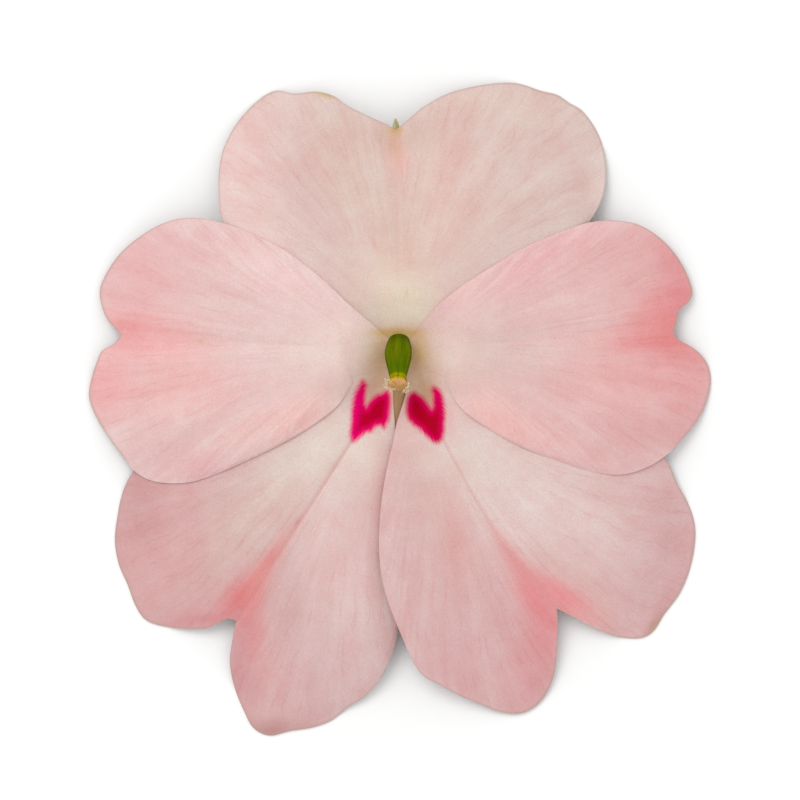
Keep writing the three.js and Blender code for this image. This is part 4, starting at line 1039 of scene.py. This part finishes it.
# %% Tissue with streaks
def new_tissue(name, streak, streak_share, deep, grain, roughness, level, scatter):
    """Painted tint, multiplied by a deeper colour where stretched noise is high, and grain.

    streak: the noise's cells per millimetre across and along. grain: cells per metre.
    """
    material, tree, out = new_material(name)
    tint = add(tree, "ShaderNodeAttribute", attribute_name="tint").outputs["Color"]
    wrap = add(tree, "ShaderNodeAttribute", attribute_name="wrap").outputs["Vector"]
    place = add(tree, "ShaderNodeTexCoord").outputs["Object"]
    long = add(tree, "ShaderNodeMapping", {"Vector": wrap, "Scale": (streak[0], streak[0], streak[1])})
    lines = add(tree, "ShaderNodeTexNoise", {"Vector": long.outputs[0], "Scale": 1.0, "Detail": 3.0})
    lines = add(tree, "ShaderNodeMapRange", {"Value": lines.outputs[0], "From Min": 0.38,
                                             "From Max": 0.66, "To Max": streak_share}).outputs[0]
    cells = add(tree, "ShaderNodeTexNoise", {"Vector": place, "Scale": grain, "Detail": 1.0})
    bright = add(tree, "ShaderNodeMapRange", {"Value": cells.outputs[0], "From Min": 0.25,
                                              "From Max": 0.75, "To Min": 0.92, "To Max": 1.08})
    darker = add(tree, "ShaderNodeMix", {"Factor": 1.0, "A": tint, "B": rgba(deep)},
                 data_type="RGBA", blend_type="MULTIPLY").outputs["Result"]
    colour = add(tree, "ShaderNodeMix", {"Factor": lines, "A": tint, "B": darker},
                 data_type="RGBA").outputs["Result"]
    colour = add(tree, "ShaderNodeVectorMath", {0: colour, "Scale": bright.outputs[0]},
                 operation="SCALE").outputs[0]
    relief = add(tree, "ShaderNodeMath", {0: lines, 1: -1.5, 2: cells.outputs[0]},
                 operation="MULTIPLY_ADD").outputs[0]
    bump = add(tree, "ShaderNodeBump", {"Height": relief, "Strength": 0.35, "Distance": 0.00004})
    skin = add(tree, "ShaderNodeBsdfPrincipled", {
        "Base Color": colour, "Roughness": roughness, "IOR": 1.4, "Specular IOR Level": level,
        "Subsurface Weight": scatter, "Subsurface Radius": (1.0, 0.8, 0.4),
        "Subsurface Scale": 0.0005, "Normal": bump.outputs[0]})
    tree.links.new(skin.outputs[0], out.inputs["Surface"])
    return material


print("tissues ready to mix")

# %% Six tissues
# Ovary wall: a smooth green capsule with a thin bloom of wax, so its gloss is broad and weak.
ovary_mat = new_tissue("ovary_wall", (2.6, 0.35), 0.6, "#b0a850", 5200.0, 0.55, 0.02, 0.05)
# Stigma: dry, crumbly papillae, quite matt.
stigma_mat = new_tissue("stigma_papillae", (3.0, 3.0), 0.5, "#d9b48c", 6000.0, 0.75, 0.05, 0.3)
# Pollen: wet-looking pale grains in clumps.
pollen_mat = new_tissue("pollen_clumps", (3.0, 3.0), 0.2, "#e0c8a0", 6000.0, 0.4, 0.5, 0.5)
# Sepal: thin green leaf tissue, waxy.
sepal_mat = new_tissue("sepal_leaf_tissue", (3.0, 0.3), 0.5, "#a8b070", 5000.0, 0.5, 0.4, 0.2)
# Spurred sepal: petal-like, flushed with green and pink, with veins that run into the spur.
spur_mat = new_tissue("spurred_sepal_tissue", (2.2, 0.12), 0.5, "#d89a92", 5000.0, 0.5, 0.35, 0.3)
# Stalk: watery and half clear, with fine ribs.
stalk_mat = new_tissue("watery_stalk", (3.4, 0.1), 0.5, "#b9b46c", 5000.0, 0.35, 0.5, 0.35)
six_tissues = (ovary_mat, stigma_mat, pollen_mat, sepal_mat, spur_mat, stalk_mat)
print("tissues:", ", ".join(tissue.name for tissue in six_tissues))

# %% [markdown]
# ## Tubes and spindles
#
# Stalk, spur, ovary and stigma are all rings of points along a path. Each ring stands square to the
# path: one of its two directions is the cross product of the path's tangent with a fixed direction
# that the path never takes, so the rings don't twist.

# %% Rings along a path
def rings_along(path, radius, rows, sides, fixed=(0, 0, 1), ripple=None):
    """Circles of radius(share) round a smooth path; ripple(share, angle) swells them.

    Returns points of shape rows, sides, 3, the angle of each side and the path's shares.
    """
    share = np.linspace(0, 1, rows)
    centre = curve_points(path, share)
    tangent = unit(np.gradient(centre, axis=0))
    u = unit(np.cross(tangent, np.array(fixed, float)))
    v = np.cross(u, tangent)
    angle = np.linspace(0, 2 * np.pi, sides, endpoint=False)
    size = np.asarray(radius(share))[:, None] * np.ones(sides)
    if ripple is not None:
        size = size * (1 + ripple(share[:, None], angle))
    circle = (np.cos(angle)[None, :, None] * u[:, None] + np.sin(angle)[None, :, None] * v[:, None])
    return centre[:, None] + size[..., None] * circle, angle, share


print("rings follow a path")


# %% Closing rings into a piece
def skin_over(rings):
    """Points and faces of a closed skin: quads between rings, and a fan over each end."""
    rows, sides = rings.shape[:2]
    points = np.concatenate([rings.reshape(-1, 3), rings[0].mean(0)[None], rings[-1].mean(0)[None]])
    k = np.arange(sides)
    nxt = (k + 1) % sides
    last = (rows - 1) * sides
    start = np.stack([nxt, k, np.full(sides, rows * sides)], axis=-1)
    end = np.stack([k + last, nxt + last, np.full(sides, rows * sides + 1)], axis=-1)
    return points, [grid_faces(rows, sides, closed=True), start, end]


def wrap_of(rings, angle, share, girth, length):
    """The wrap coordinates: girth cos, girth sin and the way along, in millimetres."""
    rows, sides = rings.shape[:2]
    along = np.broadcast_to(np.asarray(share)[:, None] * length, (rows, sides))
    wrap = np.stack([np.broadcast_to(girth * np.cos(angle), (rows, sides)),
                     np.broadcast_to(girth * np.sin(angle), (rows, sides)), along], axis=-1)
    return np.concatenate([wrap.reshape(-1, 3), [[0, 0, along[0, 0]], [0, 0, along[-1, 0]]]])


def with_poles(values):
    """A value for each ring point, and for the two end points the mean of their rings."""
    return np.concatenate([values.reshape(-1, values.shape[-1]), values[0].mean(0)[None],
                           values[-1].mean(0)[None]])


def lay_tube(name, rings, angle, share, girth, length, tint, material, nodes):
    """Closes rings into a piece with its wrap coordinates and its painted tint (sRGB)."""
    points, faces = skin_over(rings)
    lay_mesh(name, points, faces, material, nodes,
             colours={"tint": linear(with_poles(tint))},
             numbers={"wrap": wrap_of(rings, angle, share, girth, length)})


def profile(table):
    """A smooth function through rows of place and value."""
    place, value = np.array(table, float).T
    fine = curve_points(np.stack([place, value], axis=-1), np.linspace(0, 1, 200))
    return lambda t: np.interp(t, fine[:, 0], fine[:, 1])


print("tubes ready")

# %% [markdown]
# ## Ovary
#
# The ovary is a little green spindle that leans out over the throat. It has blunt ribs and olive
# streaks, and its narrow end, under the stigma, is yellow.

# %% Ovary
OVARY_BASE = np.array([-0.1, 7.0, 6.05])
OVARY_TIP = np.array([-0.2, 2.85, 8.45])
OVARY_RIBS, RIB_PHASE = 5, 0.4
ovary_middle = [OVARY_BASE + t * (OVARY_TIP - OVARY_BASE) for t in (-0.05, 0.3, 0.65, 1.08)]
ovary_radius = profile([(0, 0.78), (0.03, 0.97), (0.1, 1.12), (0.2, 1.26), (0.29, 1.34), (0.38, 1.33),
                        (0.52, 1.21), (0.66, 1.04), (0.78, 0.9), (0.87, 0.8), (0.94, 0.76), (1.0, 0.72)])
rings, angle, share = rings_along(
    ovary_middle, ovary_radius, 110, 96,
    ripple=lambda t, a: 0.035 * np.cos(OVARY_RIBS * a + RIB_PHASE) * np.sin(np.pi * np.clip(t, 0, 1)))
across_ovary, along_ovary = rings[..., 0], np.broadcast_to(share[:, None], rings.shape[:2])
ribs = 0.5 + 0.5 * np.cos(OVARY_RIBS * angle + RIB_PHASE)
tint = washed("#5d7002", along_ovary,
              ("#737c02", 0.8 * ribs * band(along_ovary, 0.35, 0.3)),
              ("#4e6a00", 0.75 * bell(across_ovary, along_ovary, (-0.1, 0.7), (0.75, 0.1))),
              # The dark olive round the wide end is painted shade where the ovary sits down in the throat.
              ("#4a5402", 0.85 * band(along_ovary, 0.02, 0.15)),
              ("#a08a20", 0.7 * band(along_ovary, 0, 0.03)),
              ("#9c9c04", 0.95 * band(along_ovary, 0.86, 0.035)),
              ("#c8a00e", smooth((along_ovary - 0.88) / 0.04)),
              ("#d0a544", smooth((along_ovary - 0.97) / 0.03)))
lay_tube("green_ovary", rings, angle, share, 1.3, 4.6, tint, ovary_mat, ["ovary"])

# %% [markdown]
# ## Stigma
#
# The stigma is a short crown of crumbly tissue at the ovary's end. Its lobes could be sculpted one by
# one. Here it is a tube as the ovary is, and cosines with random phases make its lobes and lumps.

# %% Stigma
axis = unit(OVARY_TIP - OVARY_BASE)
crown = [OVARY_TIP + t * axis for t in (0.02, 0.22, 0.42, 0.6)]
crown_radius = profile([(0, 0.64), (0.15, 0.78), (0.4, 0.9), (0.65, 0.93), (0.85, 0.86), (0.95, 0.68),
                        (1.0, 0.4)])
noise = np.random.default_rng(SURFACE_SEED + 20)
bumps = noise.uniform(0, 2 * np.pi, (7, 2))


def crumbly(t, a):
    """Lobes round the crown's end, and smaller lumps: sums of cosines with random phases."""
    lobes = 0.11 * np.cos(5 * a + 0.6) * smooth((t - 0.45) / 0.4)
    for k, (p, q) in enumerate(bumps):
        lobes = lobes + 0.035 * np.cos((3 + 2 * k) * a + p) * np.cos((6 + 3 * k) * t + q)
    return lobes


rings, angle, share = rings_along(crown, crown_radius, 60, 110, ripple=crumbly)
along_crown = np.broadcast_to(share[:, None], rings.shape[:2])
tint = washed("#d9ac6c", along_crown,
              ("#e0b684", 0.8 * bell(rings[..., 0], rings[..., 1], (0.2, 2.9), (0.7, 0.5))),
              ("#c8a068", 0.8 * smooth((along_crown - 0.6) / 0.3)))
lay_tube("stigma_crown", rings, angle, share, 0.9, 1.2, tint, stigma_mat, ["stigma"])


# %% [markdown]
# ## Pollen
#
# Clumps of pale pollen cling to the stigma's two sides. A grain is a small ball of few faces, because
# it is seen from far away. The clumps are many such balls in one mesh, strewn about each clump's
# middle, which is lighter than one object for each grain.

# %% Pollen clumps
def ball(rows=6, sides=9):
    """A ball of radius 1 as rings between two end points, and its faces."""
    height = np.linspace(-0.94, 0.94, rows)
    angle = np.linspace(0, 2 * np.pi, sides, endpoint=False)
    wide = np.sqrt(1 - height ** 2)
    ring = np.stack([wide[:, None] * np.cos(angle), wide[:, None] * np.sin(angle),
                     np.broadcast_to(height[:, None], (rows, sides))], axis=-1)
    points, faces = skin_over(ring)
    points[-2:] = [[0, 0, -1], [0, 0, 1]]
    return points, faces


# Each clump: its middle, its spread to the three sides and its count of grains, in millimetres.
CLUMPS = [((-1.25, 2.75, 8.6), (0.2, 0.34, 0.25), 60), ((-1.4, 2.4, 8.6), (0.22, 0.22, 0.2), 24),
          ((0.72, 2.4, 8.7), (0.2, 0.34, 0.25), 50), ((0.55, 1.9, 8.8), (0.3, 0.16, 0.2), 30),
          ((-0.75, 2.05, 8.8), (0.3, 0.1, 0.15), 10)]
grain_points, grain_faces = ball()
GRAIN_SIZES = (0.03, 0.075)
middles, sizes = [], []
for middle, spread, count in CLUMPS:
    middles.append(np.array(middle) + noise.normal(0, 0.55, (count, 3)) * spread)
    sizes.append(noise.uniform(*GRAIN_SIZES, count))
middles, sizes = np.concatenate(middles), np.concatenate(sizes)
points = (middles[:, None] + grain_points * sizes[:, None, None]).reshape(-1, 3)
step = (np.arange(len(middles)) * len(grain_points))[:, None, None]
faces = [(part[None] + step).reshape(-1, part.shape[1]) for part in grain_faces]
hue = np.repeat(noise.uniform(0, 1, len(middles)), len(grain_points))
tint = washed("#dcbc8a", hue, ("#f4e6cc", hue))
lay_mesh("pollen", points, faces, pollen_mat, ["stigma"],
         colours={"tint": linear(tint)}, numbers={"wrap": points})
print(len(middles), "grains")

# %% [markdown]
# ## Spurred sepal
#
# Below the throat hangs a sepal like a little boat. It narrows into a long thin spur, where the bloom
# keeps its nectar. One skin makes all of it: rings go up the inside, over the rim, down the outside,
# and then turn step by step into the circles of the spur.

# %% Shape of the boat and the spur
RIM_CENTRE = np.array([0.0, 1.85, 3.6])
BOAT_HALF_WIDTH, BOAT_HALF_LENGTH, BOAT_DEPTH, BOAT_WALL = 3.3, 4.2, 2.25, 0.45
SPUR_PATH = [(0.0, 0.6, 1.35), (-0.1, -0.9, 0.85), (-0.6, -4.0, 0.66), (-2.2, -9.2, 0.6),
             (-5.5, -14.2, 0.56), (-10.6, -16.8, 0.52), (-15.8, -15.4, 0.47), (-18.6, -11.0, 0.43),
             (-18.2, -6.2, 0.4), (-15.2, -3.4, 0.4)]
BOAT_SIDES = 72
boat_angle = np.linspace(0, 2 * np.pi, BOAT_SIDES, endpoint=False)


def boat_rings(depth_share, inset):
    """Rounded rings at a share of the boat's depth; the back, by the stalk, is squarer.

    The ring's size is the square root of 1 - share^2, so the boat's section is an ellipse.
    """
    share = np.asarray(depth_share, float)[:, None]
    power = np.where(np.sin(boat_angle) > 0, 0.7, 1.0)
    cosine = np.sign(np.cos(boat_angle)) * np.abs(np.cos(boat_angle)) ** power
    sine = np.sign(np.sin(boat_angle)) * np.abs(np.sin(boat_angle)) ** power
    spread = np.sqrt(np.maximum(0, 1 - share ** 2))
    y = (BOAT_HALF_LENGTH - inset) * spread * sine
    x = RIM_CENTRE[0] + (BOAT_HALF_WIDTH - inset) * spread * cosine
    z = RIM_CENTRE[2] - 0.06 * y * (1 - share) - (BOAT_DEPTH - inset) * share
    return np.stack([x, RIM_CENTRE[1] + y - 0.5 * share, z], axis=-1)


def spur_radius(t):
    """0.7 mm at the boat, 0.42 mm along the spur, and a little thicker at its end."""
    return (0.42 + 0.28 * (1 - smooth(1.1 * t)) + 0.1 * smooth((t - 0.9) / 0.08)) * np.sqrt(
        np.clip((1 - t) / 0.012, 0.02, 1))


print("the boat is", 2 * BOAT_HALF_LENGTH, "mm long and", BOAT_DEPTH, "mm deep")

# %% One skin for boat and spur
SPUR_LENGTH = 45.0
TURN_ROWS = 16  # rings over which the boat's bottom becomes the spur
inner = boat_rings(np.sin(np.linspace(1.55, 0.05, 18)), BOAT_WALL)
rim = boat_rings([0.0], BOAT_WALL / 2) + [0, 0, 0.16]
outer = boat_rings(np.sin(np.linspace(0.05, 1.05, 14)), 0.0)
spur, _, share = rings_along(SPUR_PATH, spur_radius, 170, BOAT_SIDES)
spur = spur[:, (-np.arange(BOAT_SIDES) + BOAT_SIDES // 2) % BOAT_SIDES]
turning = boat_rings(np.sin(np.linspace(1.08, 1.5, TURN_ROWS)), 0.0)
blend = smooth(np.linspace(0.08, 1, TURN_ROWS))[:, None, None]
spur[:TURN_ROWS] = turning * (1 - blend) + spur[:TURN_ROWS] * blend
rings = np.concatenate([inner, rim, outer, spur])
rings[..., 2] = np.maximum(rings[..., 2], 0)
boat_rows = len(rings) - len(spur)
along_spur = np.concatenate([np.linspace(-0.2, 0, boat_rows), share])
green = np.maximum(0, np.sin(boat_angle))
along = np.broadcast_to(along_spur[:, None], rings.shape[:2])
tint = washed("#dcc2ae", along,
              ("#c6c08e", 0.5 * green * (along < 0.1)),
              ("#d49a90", 0.8 * smooth((along - 0.02) / 0.15) * (1 - smooth((along - 0.6) / 0.3))),
              ("#b9b070", 0.8 * smooth((along - 0.7) / 0.3)))
lay_tube("boat_and_spur", rings, boat_angle, along_spur, 2.0, SPUR_LENGTH, tint, spur_mat,
         ["spurred_sepal"])

# %% [markdown]
# ## The sepal's lip
#
# In the slot between the two lower petals shows the front lip of the boat: a small tan tongue. It is
# a blade, as the petals are, and so are the side sepals. One function closes such a blade.

# %% Blades of sepal tissue
def lay_blade(name, middle, thickness, across, along, tint, material, nodes):
    """Both skins of a blade with one tint (sRGB); its wrap coordinates are across, 0 and along."""
    wrap = np.stack([across, 0 * across, along], axis=-1)
    lay_mesh(name, both_skins(*blade(middle, thickness[..., None])), blade_faces(*across.shape),
             material, nodes, colours={"tint": linear(both_skins(tint))},
             numbers={"wrap": both_skins(wrap)})


# %% Lip
LIP_LENGTH = 5.6
lip_s, lip_t = np.meshgrid(np.linspace(-1, 1, 29), np.linspace(0, 1, 41))
lip_width = 1.05 * (1 - 0.72 * lip_t ** 1.4)
lip = np.stack([-0.02 - 0.33 * lip_t + lip_s * lip_width, 3.3 - LIP_LENGTH * lip_t,
                4.27 + 1.5 * lip_t ** 2 - 0.1 * lip_s ** 2], axis=-1)
tint = washed("#ae8c62", lip_t, ("#ab8c62", 0.7 * bell(lip_s, lip_t, (0, 0.15), (2, 0.2))))
lay_blade("sepal_lip", lip, 0.3 * (1 - 0.5 * lip_t ** 2), lip_s, LIP_LENGTH * lip_t, tint, spur_mat,
          ["spurred_sepal"])

# %% [markdown]
# ## Side sepals
#
# Two small pointed sepals sit behind the side petals. A leaf is a grid again: its width is a sine
# that tapers to the tip, and it has a groove along its middle.

# %% Side sepals
SEPAL_LENGTH = 7.2


def make_sepal(name, node, mirror):
    """A leaf blade; its half width is a base part and a belly part, both tapered. mirror: 1 or -1."""
    s, t = np.meshgrid(np.linspace(-1, 1, 41), np.linspace(0, 1, 71))
    taper = (1 - t) ** 0.7
    width = 0.1 + (0.75 * (1 - t) ** 2 + 1.6 * np.sin(np.pi * np.minimum(1, t + 0.08))) * taper
    groove = 0.12 * band(s, 0, 0.12) * np.sin(np.pi * t)
    wave = 0.05 * np.sin(9 * t + 2 * s) * np.abs(s)
    middle = np.stack([mirror * (1.26 + SEPAL_LENGTH * t), 7.55 + 2.3 * t + s * width,
                       3.1 + 1.5 * smooth(t) - 0.35 * s * s * np.sin(np.pi * t) - groove + wave], axis=-1)
    tint = washed("#98a65c", s, ("#b6bd84", 0.7 * band(s, 0, 0.1)),
                  ("#b98f7c", 0.5 * smooth((np.abs(s) - 0.8) / 0.2)),
                  ("#8a8a4c", 0.8 * smooth((t - 0.9) / 0.1)))
    lay_blade(name, middle, 0.42 * (1 - 0.5 * smooth((np.abs(s) - 0.7) / 0.3)), s * width,
              SEPAL_LENGTH * t, tint, sepal_mat, [node])


make_sepal("left_side_sepal", "left_sepal", -1)
make_sepal("right_side_sepal", "right_sepal", 1)

# %% [markdown]
# ## Flower stalk
#
# The stalk lies on the table, pressed a little flat along its underside, and turns up into the
# swollen end that carries every other part. Its cut end is pale.

# %% Stalk
STALK_PATH = [(-1.2, 25.6, 0.67), (-1.1, 21.0, 0.67), (-0.7, 15.5, 0.67), (-0.2, 11.4, 0.9),
              (0, 9.0, 1.7), (0, 7.7, 3.0), (0, 7.3, 4.2), (0, 7.3, 5.17)]
STALK_LENGTH, STALK_RADIUS = 21.6, 0.8
KNOB_RADIUS, KNOB_HALF_HEIGHT = 1.15, 0.98


def stalk_radius(t):
    """0.8 mm, joined to the knob's half circle by a power sum, which rounds the corner."""
    left = (1 - t) * STALK_LENGTH
    knob = KNOB_RADIUS * np.sqrt(np.clip(1 - ((left - KNOB_HALF_HEIGHT) / KNOB_HALF_HEIGHT) ** 2, 0, 1))
    stem = np.where(left > KNOB_HALF_HEIGHT, STALK_RADIUS + 0.12 * (1 - smooth(t / 0.06)), 0.0)
    return np.maximum((knob ** 5 + stem ** 5) ** 0.2, 0.03)


rings, angle, share = rings_along(STALK_PATH, stalk_radius, 220, 48, fixed=(1, 0, 0),
                                  ripple=lambda t, a: 0.02 * np.cos(7 * a + 5 * t))
rings[..., 2] = np.maximum(rings[..., 2], 0)
along = np.broadcast_to(share[:, None], rings.shape[:2])
tint = washed("#aab06f", along,
              ("#c58f7c", 0.45 * band(along, 0.55, 0.3)),
              ("#93a052", 0.7 * smooth((along - 0.85) / 0.12)),
              ("#cfd0a2", 1 - smooth(along / 0.006)))
lay_tube("stalk_and_knob", rings, angle, share, STALK_RADIUS, STALK_LENGTH, tint, stalk_mat,
         ["flower_stalk"])

# %% [markdown]
# ## The upper petal's horn
#
# The upper petal has a green keel along its back. It ends as a small horn that shows in the notch.

# %% Horn
horn_radius = profile([(0, 0.42), (0.5, 0.42), (0.75, 0.3), (0.92, 0.14), (1.0, 0.05)])
rings, angle, share = rings_along([(-0.4, 26.4, 2.6), (-0.42, 27.6, 2.45), (-0.45, 29.15, 2.6)],
                                  horn_radius, 50, 32,
                                  ripple=lambda t, a: 0.06 * np.cos(3 * a) + 0 * t)
along = np.broadcast_to(share[:, None], rings.shape[:2])
tint = washed("#b5ad80", along,
              ("#8f8f6c", 0.8 * smooth((np.abs(rings[..., 0] + 0.43) - 0.12) / 0.25)),
              ("#dccfa8", 0.7 * band(along, 0.6, 0.15)))
lay_tube("keel_horn", rings, angle, share, 0.4, 2.8, tint, sepal_mat, ["upper_petal"])
